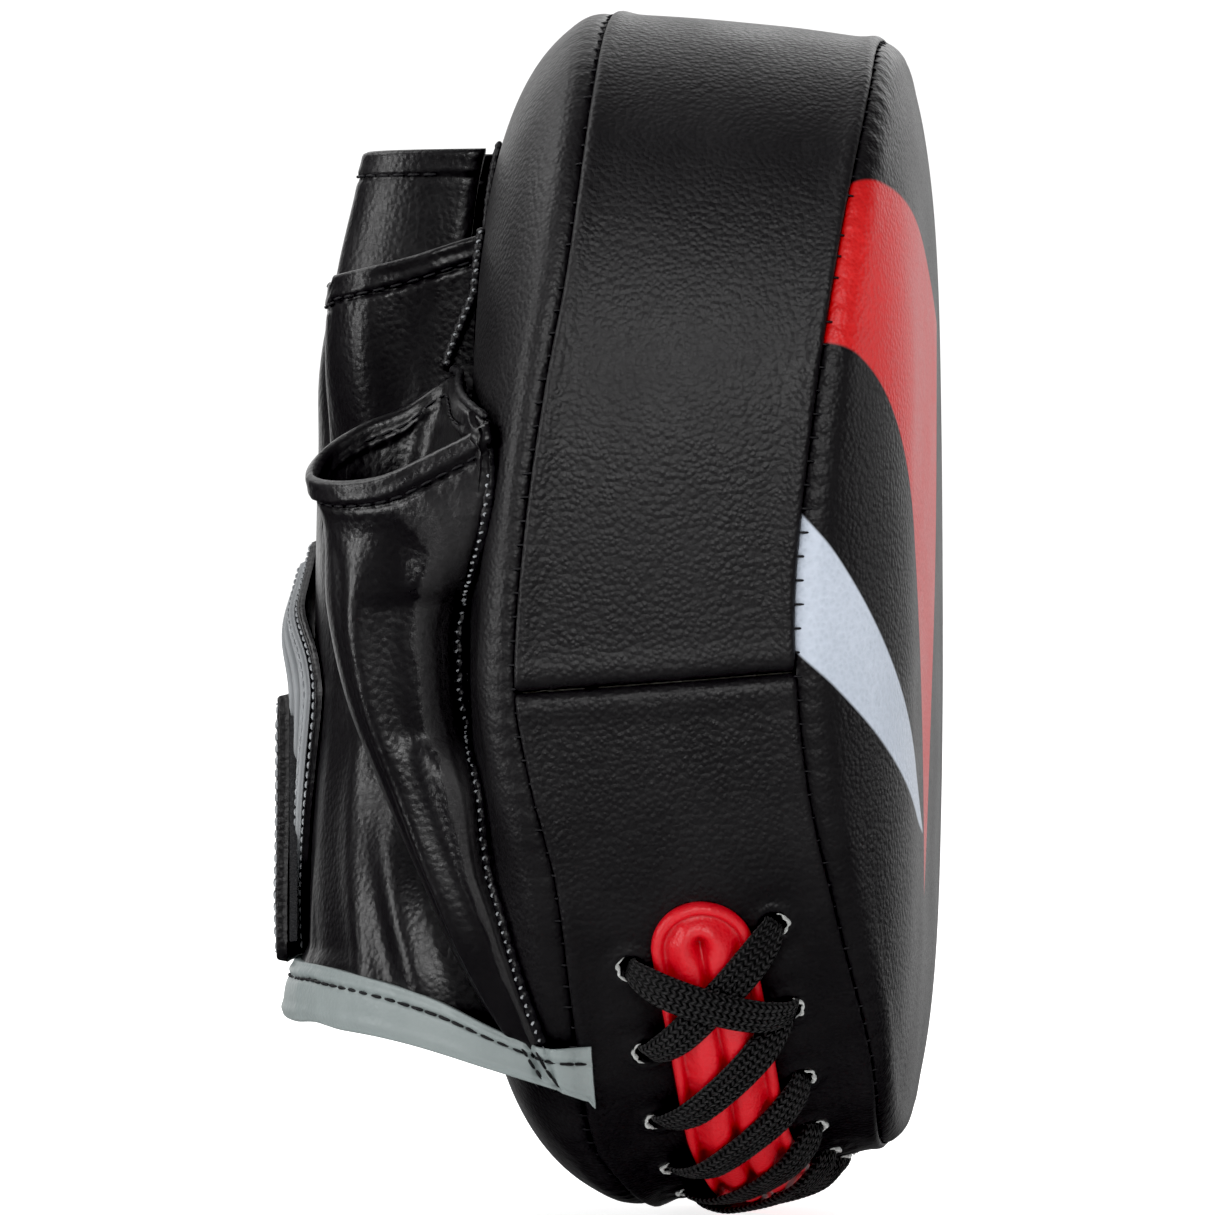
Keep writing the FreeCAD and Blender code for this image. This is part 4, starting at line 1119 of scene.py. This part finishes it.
def closure_sheet(name, low, high, z0, z1, bottom, thick, rows=160, cols=90, puff=0.0, seed=61, corner=0.0):
    """Patch on the back of the glove, with rounded edges; low and high may depend on the height."""
    t = np.linspace(0, 1, rows)
    s = np.linspace(0, 1, cols)
    zz = z0 + (z1 - z0) * s[None, :] + 0 * t[:, None]
    lo = np.array([low(k) if callable(low) else low for k in zz[0]]) * PI / 180
    hi = np.array([high(k) if callable(high) else high for k in zz[0]]) * PI / 180
    a = lo[None] + (hi - lo)[None] * t[:, None]
    if corner:
        inset = corner * (1 - rounded(np.minimum(s, 1 - s) * (z1 - z0), corner))
        a = a + (inset / 56.0)[None] * (1 - t[:, None])
    p = closure_point(a, zz, np.zeros_like(zz))
    n = unit(closure_point(a, zz, np.ones_like(zz)) - p)
    span = np.cumsum(np.linalg.norm(np.gradient(p, axis=0), axis=-1), 0)
    edge = np.minimum(np.minimum(span - span[:1], span[-1:] - span), np.minimum(zz - z0, z1 - zz))
    round_off = rounded(edge, 0.9)
    height = bottom + thick * (0.25 + 0.75 * round_off)
    height += puff * (1 - np.exp(-edge / 2.5)) - 0.28 * hump(edge, 2.4, 0.7)
    height += 0.12 * noise(p, 12, seed) + 0.06 * noise(p, 4, seed + 1)
    outer = p + n * height[..., None]
    inner = p + n * (bottom + thick * 0.3 * (1 - round_off))[..., None]
    return sheet_solid(name, outer, inner), outer, n


def edge_stitches(outer, normals, edge_mm, pitch, radius, sides):
    """Stitches parallel to some edges of a patch."""
    step_row = np.linalg.norm(np.diff(outer, axis=0), axis=-1).mean()
    step_col = np.linalg.norm(np.diff(outer, axis=1), axis=-1).mean()
    i, j = max(int(round(edge_mm / step_row)), 1), max(int(round(edge_mm / step_col)), 1)
    lines = {"near": (i, slice(j, -j)), "far": (-1 - i, slice(j, -j)),
             "low": (slice(i, -i), j), "high": (slice(i, -i), -1 - j)}
    return [stitch_line(outer[lines[k]] + normals[lines[k]] * 0.05, normals[lines[k]],
                        pitch, 0.68, radius, 0.12) for k in sides]


NEAR_EDGE = [(46, 74.0), (60, 62.0), (70, 54.5), (80, 48.5), (95, 43.5), (101, 46.5), (107, 55.0),
             (115, 72.0), (125, 96.0)]
TRIMS = [(4.0, 10.5, 52.0, 121.0, 1.5, 40, 63), (12.0, 16.5, 54.0, 119.0, 2.1, 30, 64),
         (17.5, 22.0, 56.0, 117.0, 2.7, 30, 66)]  # degrees from the edge, heights, thickness, rows, seed


def near_edge_deg(z):
    """Thumb-side edge of the closure base, in degrees round the glove: a shallow lens."""
    return float(along(NEAR_EDGE, z))


def closure():
    """Base of the closure, its grey stripes and its stitches."""
    base, base_out, base_n = closure_sheet("closure_base_skin", near_edge_deg, 138.0, 47.0, 125.0, -0.2, 2.0,
                                           170, 130, seed=61)
    trims = [closure_sheet("closure_trim", lambda z: near_edge_deg(z) + first,
                           lambda z: near_edge_deg(z) + last, z0, z1, 1.75, thick, rows, 110, seed=seed)
             for first, last, z0, z1, thick, rows, seed in TRIMS]
    trim = join("closure_trim", [t[0] for t in trims])
    light = edge_stitches(base_out, base_n, 1.7, 1.9, 0.26, ("near", "high"))
    light += edge_stitches(trims[0][1], trims[0][2], 1.4, 2.1, 0.22, ("near",))
    return base, trim, join("closure_stitches", light)


LAYERS = 2.0 + 0.05 + 1.4 + 0.3 + 1.2 + 0.05     # base, loop pile and hook tape under the strap
STRAP_T = 2.4
STRAP_LOW, STRAP_HIGH = 46.0, 96.0               # heights of the strap's edges
HINGE_MID, HINGE_ROOT = 104.0, 140.0             # the strap's hinges, in degrees round the glove


def strap():
    """Leather strap from its sewn end to its free tip, and the sewn end itself."""
    flap, out, n = closure_sheet("wrist_strap", 62.0, 138.6, STRAP_LOW, STRAP_HIGH, LAYERS - 1.4, STRAP_T + 0.5,
                                 260, 130, puff=0.35, seed=65, corner=4.0)
    rows = edge_stitches(out, n, 2.3, 2.3, 0.24, ("near", "low", "high"))
    rows += edge_stitches(out[:18], n[:18], 5.0, 2.3, 0.24, ("near",))
    anchor, a_out, a_n = closure_sheet("strap_sewn_end", 137.4, 158.0, STRAP_LOW, STRAP_HIGH, 0.1,
                                       LAYERS + STRAP_T + 0.5, 90, 110, puff=0.3, seed=67)
    box = edge_stitches(a_out[18:], a_n[18:], 2.2, 2.4, 0.25, ("near", "far", "low", "high"))
    return flap, join("strap_stitches", rows), anchor, join("strap_end_stitches", box)


# ---- inside of the glove -------------------------------------------------------------------------------
BALL_Z, BALL_R, BALL_H = 104.0, 25.0, 9.0


def palm_ball():
    """Stuffed leather dome that the palm closes round, with its seam near the foot."""
    r = np.concatenate([np.linspace(0.02, 0.9, 40), np.linspace(0.9, 1.0, 14)[1:]])
    a = np.linspace(0, TAU, 181)[:-1]
    rr, aa = np.meshgrid(r, a, indexing="ij")
    x, z = BALL_R * rr * np.sin(aa), BALL_Z + BALL_R * rr * np.cos(aa)
    rise = BALL_H * (1 - rr**2.2) ** 0.8
    base = np.stack([x, BACK_Y + 0.3 + rise, z], -1)
    pull = mean_wave(aa * 42)
    base[..., 1] += (0.25 * noise(base, 9, 71) + 0.10 * noise(base, 3.5, 72)) * (1 - rr) ** 0.3
    base[..., 1] -= 0.35 * pull * hump(rr, 0.93, 0.03) + 0.5 * hump(rr, 0.90, 0.012)
    low = base.copy()
    low[..., 1] = np.maximum(base[..., 1] - 1.3, BACK_Y + 0.15)
    grid = np.concatenate([base, low[::-1]])
    return closed_grid("palm_dome", grid, wrap_cols=True, caps=True)


def palm_lining():
    """Cloth glued over the leather under the hand, with a hole for the dome."""
    x = np.linspace(-41, 41, 120)
    z = np.linspace(48, 148, 150)
    xx, zz = np.meshgrid(x, z, indexing="ij")
    r = np.hypot(xx, zz - BALL_Z)
    hole = r < BALL_R + 0.4
    p = np.stack([xx, BACK_Y + 0.35 + 0.55 + 0.12 * noise(np.stack([xx, 0 * xx, zz], -1), 8, 75), zz], -1)
    low = p.copy()
    low[..., 1] = BACK_Y + 0.15
    return cut_sheet("palm_cloth", p, low, lambda i, j: hole[i:i + 2, j:j + 2].any())


# ---- materials in use ----------------------------------------------------------------------------------
def face_leather():
    """Printed leather of the striking face: a red and a blue-grey blade on black, on its flat pattern."""
    m = Nodes("face_leather_printed")
    u, w = m.uv()

    def curve(a, b, c, start):
        d = m.math("SUBTRACT", u, start)
        return m.math("ADD", m.math("MULTIPLY_ADD", d, b, a), m.math("MULTIPLY", m.math("MULTIPLY", d, d), c))

    def over(line):                               # 1 above the line
        return m.remap(m.math("SUBTRACT", w, line), -0.35, 0.35, 0.0, 1.0)

    def under(line):                              # 1 below the line
        return m.remap(m.math("SUBTRACT", line, w), -0.35, 0.35, 0.0, 1.0)

    red = m.math("MULTIPLY", under(curve(75.0, -0.20, -0.0006, -70.0)),
                 over(curve(47.0, -0.55, -0.0125, -87.0)))
    red = m.math("MULTIPLY", red, over(curve(-52.0, 2.1, 0.011, -14.0)))
    grey = m.math("MULTIPLY", under(curve(15.5, -1.30, 0.0065, -94.0)),
                  over(curve(-11.0, -0.85, 0.0055, -95.0)))
    slow = m.noise(45, 4.0, 0.55)
    pebbles, normal = m.grain(0.95, 3400, 0.17, 0.9)
    worn = m.remap(m.math("ADD", m.math("MULTIPLY", pebbles, 0.6), slow), 0.35, 1.15, 0.0, 1.0)
    black = m.mix(slow, (0.0050, 0.0045, 0.0052), (0.0110, 0.0100, 0.0112))
    reds = m.mix(worn, (0.40, 0.003, 0.004), (0.52, 0.006, 0.006))
    greys = m.mix(worn, (0.33, 0.37, 0.43), (0.42, 0.46, 0.53))
    colour = m.mix(grey, m.mix(red, black, reds), greys)
    printed = m.math("MAXIMUM", red, grey)
    rough = m.math("ADD", m.remap(slow, 0.25, 0.75, 0.38, 0.46), m.math("MULTIPLY", pebbles, 0.08))
    rough = m.math("MULTIPLY_ADD", printed, -0.04, rough)
    return m.finish(colour, rough, normal, Specular_IOR_Level=0.40)


def thumb_leather(base_dark, base_light):
    """Glossy glove leather; the strip beside the thumb's seam is scuffed, dull and uneven."""
    m = Nodes("thumb_leather")
    round_thumb, up_thumb = m.uv()
    ragged = m.noise(240, 5.0, 0.62, stretch=(1.0, 1.0, 0.45))
    edge = m.math("MULTIPLY_ADD", ragged, 0.55, 0.02)
    inside = m.math("LESS_THAN", round_thumb, 1.5)
    strip = m.math("MULTIPLY", inside, m.remap(m.math("SUBTRACT", round_thumb, edge), 0.02, 0.10, 0.0, 1.0))
    strip = m.math("MULTIPLY", strip, m.remap(up_thumb, 134.0, 120.0, 0.0, 1.0))
    pebbles, normal = m.grain(1.2, 3000, 0.10)
    wrinkles = m.noise(420, 5.0, 0.65, stretch=(1.0, 1.0, 0.45))
    scuff = m.noise(900, 6.0, 0.7)
    slow = m.noise(60, 4.0, 0.55)
    uneven = m.math("ADD", m.math("MULTIPLY", wrinkles, 0.6),
                    m.math("MULTIPLY", m.math("MULTIPLY", scuff, strip), 2.2))
    normal = m.bump(uneven, 0.14 * MM, 0.6, normal)
    colour = m.mix(strip, m.mix(slow, base_dark, base_light),
                   m.mix(scuff, (0.006, 0.006, 0.006), (0.024, 0.022, 0.024)))
    rough = m.math("MULTIPLY_ADD", strip, 0.22, m.math("ADD", m.remap(slow, 0.25, 0.75, 0.24, 0.34),
                                                       m.math("MULTIPLY", pebbles, 0.08)))
    return m.finish(colour, rough, normal, Specular_IOR_Level=0.55)


def braid():
    """Tight black polyester braid: rows of slanting threads that meet in chevrons along the lace, with painted
    highlights on the thread crests and painted shade in the gaps between them.
    """
    m = Nodes("lace_braid_black_painted_crest_highlights")
    along_mm, across_mm = m.uv()
    zigzag = m.math("PINGPONG", m.math("ADD", across_mm, 7.0), 0.78)
    phase = m.math("MULTIPLY_ADD", along_mm, 1 / 1.25, m.math("MULTIPLY", zigzag, 0.75))
    strand = m.math("MULTIPLY_ADD", m.math("SINE", m.math("MULTIPLY", phase, TAU)), 0.5, 0.5)
    column = m.math("ABSOLUTE", m.math("SINE", m.math("MULTIPLY", across_mm, PI / 0.78)))
    ridge = m.math("MULTIPLY", strand, m.math("POWER", column, 0.6))
    fibre = m.noise(5200, 3.0, 0.7)
    normal = m.bump(m.math("MULTIPLY_ADD", fibre, 0.25, ridge), 0.42 * MM, 1.0)
    # painted light: the colour is lighter on the thread crests (painted highlight) and near black in the gaps
    # between the threads (painted shade)
    colour = m.mix(m.math("POWER", ridge, 2.2), (0.0018, 0.0016, 0.0018), (0.024, 0.022, 0.024))
    return m.finish(colour, m.remap(fibre, 0.3, 0.7, 0.42, 0.60), normal,
                    Specular_IOR_Level=0.40, Sheen_Weight=0.05, Sheen_Roughness=0.4)


def thread(name, dark, light, rough=0.55):
    """Twisted sewing thread."""
    m = Nodes(name)
    twist = m.noise(2600, 2.0, 0.6, stretch=(1.0, 1.0, 0.4))
    tone = m.noise(330, 3.0, 0.6)
    return m.finish(m.mix(m.math("MULTIPLY", twist, m.math("MULTIPLY_ADD", tone, 1.2, 0.3)), dark, light),
                    m.remap(twist, 0.3, 0.7, rough - 0.08, rough + 0.12), m.bump(twist, 0.14 * MM, 0.9),
                    Specular_IOR_Level=0.4)


def fuzz(name, dark, light, scale, depth):
    """Pile or tape of a hook-and-loop fastener, or open-cell foam."""
    m = Nodes(name)
    loops = m.cells(scale, "F1")
    fibre = m.noise(scale * 2.2, 4.0, 0.7)
    colour = m.mix(m.math("MULTIPLY", loops, fibre), light, dark)
    normal = m.bump(m.math("ADD", loops, m.math("MULTIPLY", fibre, 0.6)), depth * MM, 0.9)
    return m.finish(colour, m.remap(fibre, 0.3, 0.7, 0.75, 0.95), normal,
                    Specular_IOR_Level=0.2, Sheen_Weight=0.3, Sheen_Roughness=0.5)


def woven(name, dark, light, pitch):
    """Plain weave."""
    m = Nodes(name)
    waves = []
    for direction in ("X", "Z"):
        w = m.add("ShaderNodeTexWave", wave_type="BANDS", bands_direction=direction)
        w.inputs["Scale"].default_value = 0.5 * 1000 / pitch / PI
        w.inputs["Distortion"].default_value = 0.6
        m.feed(w)
        waves.append((w, 1))
    cloth = m.math("MULTIPLY", *waves)
    slow = m.noise(90, 3.0, 0.6)
    return m.finish(m.mix(m.math("MULTIPLY_ADD", cloth, 0.7, m.math("MULTIPLY", slow, 0.4)), dark, light),
                    m.remap(slow, 0.3, 0.7, 0.7, 0.9), m.bump(cloth, 0.15 * MM, 0.9), Specular_IOR_Level=0.25)


BLACK = dict(dark=(0.0046, 0.0041, 0.0048), light=(0.0105, 0.0095, 0.0108))
GLOVE_BLACK = ((0.0040, 0.0036, 0.0042), (0.0085, 0.0076, 0.0088))
LOOKS = {
    "pad": leather("pad_leather_black", rough=0.40, grain=0.95, depth=0.15, **BLACK),
    "band": leather("band_leather_black", rough=0.41, grain=1.0, depth=0.22, crease=0.06, **BLACK),
    "face": face_leather(),
    "glove": leather("glove_leather_black", *GLOVE_BLACK, rough=0.29, grain=1.1, depth=0.10, crease=0.08),
    "thumb": thumb_leather(*GLOVE_BLACK),
    "red": leather("red_leather", (0.40, 0.002, 0.006), (0.54, 0.004, 0.012),
                   rough=0.34, grain=0.8, depth=0.12, crease=0.10),
    "grey": leather("grey_leather", (0.150, 0.178, 0.178), (0.215, 0.243, 0.240),
                    rough=0.38, grain=0.9, depth=0.08, crease=0.16),
    "trim": leather("grey_trim_leather", (0.16, 0.17, 0.18), (0.26, 0.27, 0.28),
                    rough=0.45, grain=0.8, depth=0.06),
    "welt": leather("welt_leather_black", (0.004, 0.0037, 0.0045), (0.010, 0.009, 0.011),
                    rough=0.38, grain=0.7, depth=0.10),
    "braid": braid(),
    "dark_thread": thread("dark_thread", (0.0030, 0.0028, 0.0036), (0.014, 0.013, 0.016)),
    "light_thread": thread("light_thread", (0.03, 0.032, 0.036), (0.50, 0.52, 0.54)),
    "raw_edge": fuzz("raw_leather_edge", (0.05, 0.05, 0.05), (0.40, 0.41, 0.40), 1500, 0.2),
    "loops": fuzz("loop_pile_black", (0.006, 0.006, 0.007), (0.030, 0.030, 0.033), 1400, 0.5),
    "hooks": fuzz("hook_tape_black", (0.006, 0.006, 0.007), (0.022, 0.022, 0.024), 900, 0.5),
    "foam": fuzz("padding_foam", (0.35, 0.34, 0.30), (0.62, 0.60, 0.54), 700, 0.4),
    "board": woven("stiffener_board_grey", (0.16, 0.15, 0.13), (0.30, 0.28, 0.25), 1.4),
    "lining": woven("lining_cloth_black", (0.006, 0.006, 0.007), (0.024, 0.024, 0.026), 0.9),
}


def place(obj, look, body="pad", nodes=()):
    """Material, body and replaced CAD nodes of a piece."""
    obj.data.materials.clear()
    obj.data.materials.append(LOOKS[look])
    if body:
        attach(obj, body)
    if nodes:
        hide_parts(*nodes)
    return obj


# ---- the object ----------------------------------------------------------------------------------------
GAP = 0.0013                                      # half the opening between the bands' ends, in radians

place(pad_skin("face_skin", True), "face", nodes=["face_panel"])
place(pad_skin("back_skin", False), "pad", nodes=["back_panel"])
place(band_panel("band_upper", -CROSS_ANGLE + GAP, CROSS_ANGLE - GAP), "band",
      nodes=["gusset_upper"])
holes = [h for front, back in lace_holes() for h in ((front, -HOLE_OFFSET), (back, HOLE_OFFSET))]
place(band_panel("band_lower", CROSS_ANGLE + GAP, TAU - CROSS_ANGLE - GAP, holes), "band",
      nodes=["gusset_lower"])
place(seam_stitches("face_seam_thread", True), "dark_thread")
place(seam_stitches("back_seam_thread", False), "dark_thread")
place(tongue(), "red", nodes=["tongue", "tongue_piping_front", "tongue_piping_back"])
place(lace(), "braid", nodes=["lace"])
place(hole_edges(), "raw_edge")

glove, hem_thread = glove_sheet()
place(glove, "glove", nodes=["hand_shell", "cuff_panel"] + [
    kind + finger for kind in ("stall_", "hem_") for finger in ("index", "middle", "ring", "little")])
place(hem_thread, "dark_thread")
thumb_skin, thumb_thread = thumb()
place(thumb_skin, "thumb", nodes=["thumb_stall", "hem_thumb"])
place(thumb_thread, "dark_thread")
seam_welt, seam_thread = seam_pieces()
place(seam_welt, "welt")
place(seam_thread, "light_thread")
bound, bound_thread = binding()
place(bound, "grey", nodes=["cuff_binding"])
place(bound_thread, "dark_thread")

base, trim, light = closure()
place(base, "glove", nodes=["closure_base"])
place(trim, "trim")
place(light, "light_thread")
flap, flap_thread, anchor, anchor_thread = strap()
place(flap, "band", body=None, nodes=["strap_root", "strap_tip"])
place(flap_thread, "light_thread", body=None)
place(anchor, "band", body=None, nodes=["strap_anchor"])
place(anchor_thread, "light_thread")


def hinge_span(degrees, spread):
    """Two points either side of a hinge of the strap, along it, in metres."""
    a = np.radians([degrees + spread, degrees - spread])
    ends = closure_point(a, np.full(2, (STRAP_LOW + STRAP_HIGH) / 2), LAYERS + STRAP_T / 2)
    return [tuple((p + ROW_SHIFT) * MM) for p in ends]


start, end = hinge_span(HINGE_MID, 5.0)
for piece in (flap, flap_thread):
    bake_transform(piece)
start, end = hinge_span(HINGE_ROOT, 2.4)
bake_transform(anchor)

place(palm_ball(), "glove", nodes=["palm_ball_cover"])
cloth = place(palm_lining(), "lining", nodes=["palm_lining"])

for node, look in {"foam_face": "foam", "foam_core": "foam", "foam_back": "foam", "stiffener_board": "board",
                   "palm_ball_foam": "foam", "loop_patch": "loops", "hook_patch": "hooks"}.items():
    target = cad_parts[node]
    target.data.materials.clear()
    target.data.materials.append(LOOKS[look])


# ---- studio --------------------------------------------------------------------------------------------
def aim(obj, target):
    obj.rotation_euler = (Vector(target) - obj.location).to_track_quat("-Z", "Y").to_euler()


def softbox(name, place_at, target, width, height, power):
    """Rectangular lamp, metres and watts, aimed at a point."""
    light = bpy.data.lights.new(name, "AREA")
    light.shape, light.size, light.size_y, light.energy = "RECTANGLE", width, height, power
    obj = bpy.data.objects.new(name, light)
    obj.location = place_at
    bpy.context.scene.collection.objects.link(obj)
    aim(obj, target)
    return obj


MIDDLE = (0.0, -0.00091, 0.1139)
softbox("front_box", (-1.98, -0.2, 1.06), MIDDLE, 1.1, 0.5, 15.0)
softbox("left_strip", (-0.50, 1.20, 0.35), MIDDLE, 0.22, 0.9, 5.0)
softbox("right_strip", (0.42, -1.2, 0.24), MIDDLE, 0.22, 0.30, 1.0)
softbox("upper_back_box", (0.13, 0.85, 1.09), MIDDLE, 0.7, 0.6, 4.0)
softbox("far_side_fill", (1.5, -0.4, 0.9), MIDDLE, 1.0, 0.8, 3.0)

world = bpy.data.worlds.new("white_room")
bpy.context.scene.world = world
world.use_nodes = True
w = Tree(world.node_tree)
split = w.add("ShaderNodeSeparateXYZ")
w.value((w.add("ShaderNodeTexCoord"), "Generated"), split.inputs[0])
slope = w.math("MULTIPLY_ADD", (split, "Z"), 0.35, (split, "X"))
ahead = w.remap(slope, 0.72, 0.92, 0.022, 1.15, interpolation_type="SMOOTHSTEP")
down = w.remap((split, "Z"), -0.35, 0.05, 0.10, 1.0)


def white(strength):
    """White background shader."""
    node = w.add("ShaderNodeBackground")
    node.inputs["Color"].default_value = (1, 1, 1, 1)
    w.value(strength, node.inputs["Strength"])
    return node, 0


def choose(factor, a, b):
    """Mix of two shaders."""
    node = w.add("ShaderNodeMixShader")
    for source, socket in zip((factor, a, b), node.inputs):
        w.value(source, socket)
    return node, 0


rays = w.add("ShaderNodeLightPath")
lit = white(0.55)                                 # what lights the object
mirrored = white(w.math("MULTIPLY", ahead, down))  # what it mirrors: a white wall behind, a dim room in front
behind = white(1.0)                               # what is seen behind it
seen = choose((rays, "Is Camera Ray"), choose((rays, "Is Glossy Ray"), lit, mirrored), behind)
w.value(seen, w.add("ShaderNodeOutputWorld").inputs["Surface"])

bpy.ops.mesh.primitive_circle_add(vertices=96, radius=60, fill_type="NGON", location=(0, 0, -0.0002))
floor = bpy.context.object
floor.name = "floor"
m = Nodes("pale_floor")
pale = m.mix(m.noise(3.0, 2.0), (0.93, 0.93, 0.93), (0.95, 0.95, 0.95))
floor.data.materials.append(m.finish(pale, 0.9, Specular_IOR_Level=0.0, Emission_Color=(1, 1, 1, 1),
                                     Emission_Strength=0.75))
floor.visible_glossy = False

AZIMUTH, ELEVATION, DISTANCE = math.radians(-85.0), math.radians(0.0), 1.8
camera = bpy.data.objects.new("camera", bpy.data.cameras.new("camera"))
bpy.context.scene.collection.objects.link(camera)
camera.data.lens, camera.data.sensor_width = 284.0, 36.0
direction = (math.sin(AZIMUTH) * math.cos(ELEVATION), -math.cos(AZIMUTH) * math.cos(ELEVATION),
             math.sin(ELEVATION))
camera.location = [c + DISTANCE * d for c, d in zip(MIDDLE, direction)]
aim(camera, MIDDLE)
bpy.context.scene.camera = camera
view = bpy.context.scene.view_settings
view.view_transform = "Standard"
view.exposure = 0.14
view.use_curve_mapping = True                     # deep blacks, as in a studio picture
view.curve_mapping.black_level = (0.005, 0.005, 0.005)
view.curve_mapping.update()
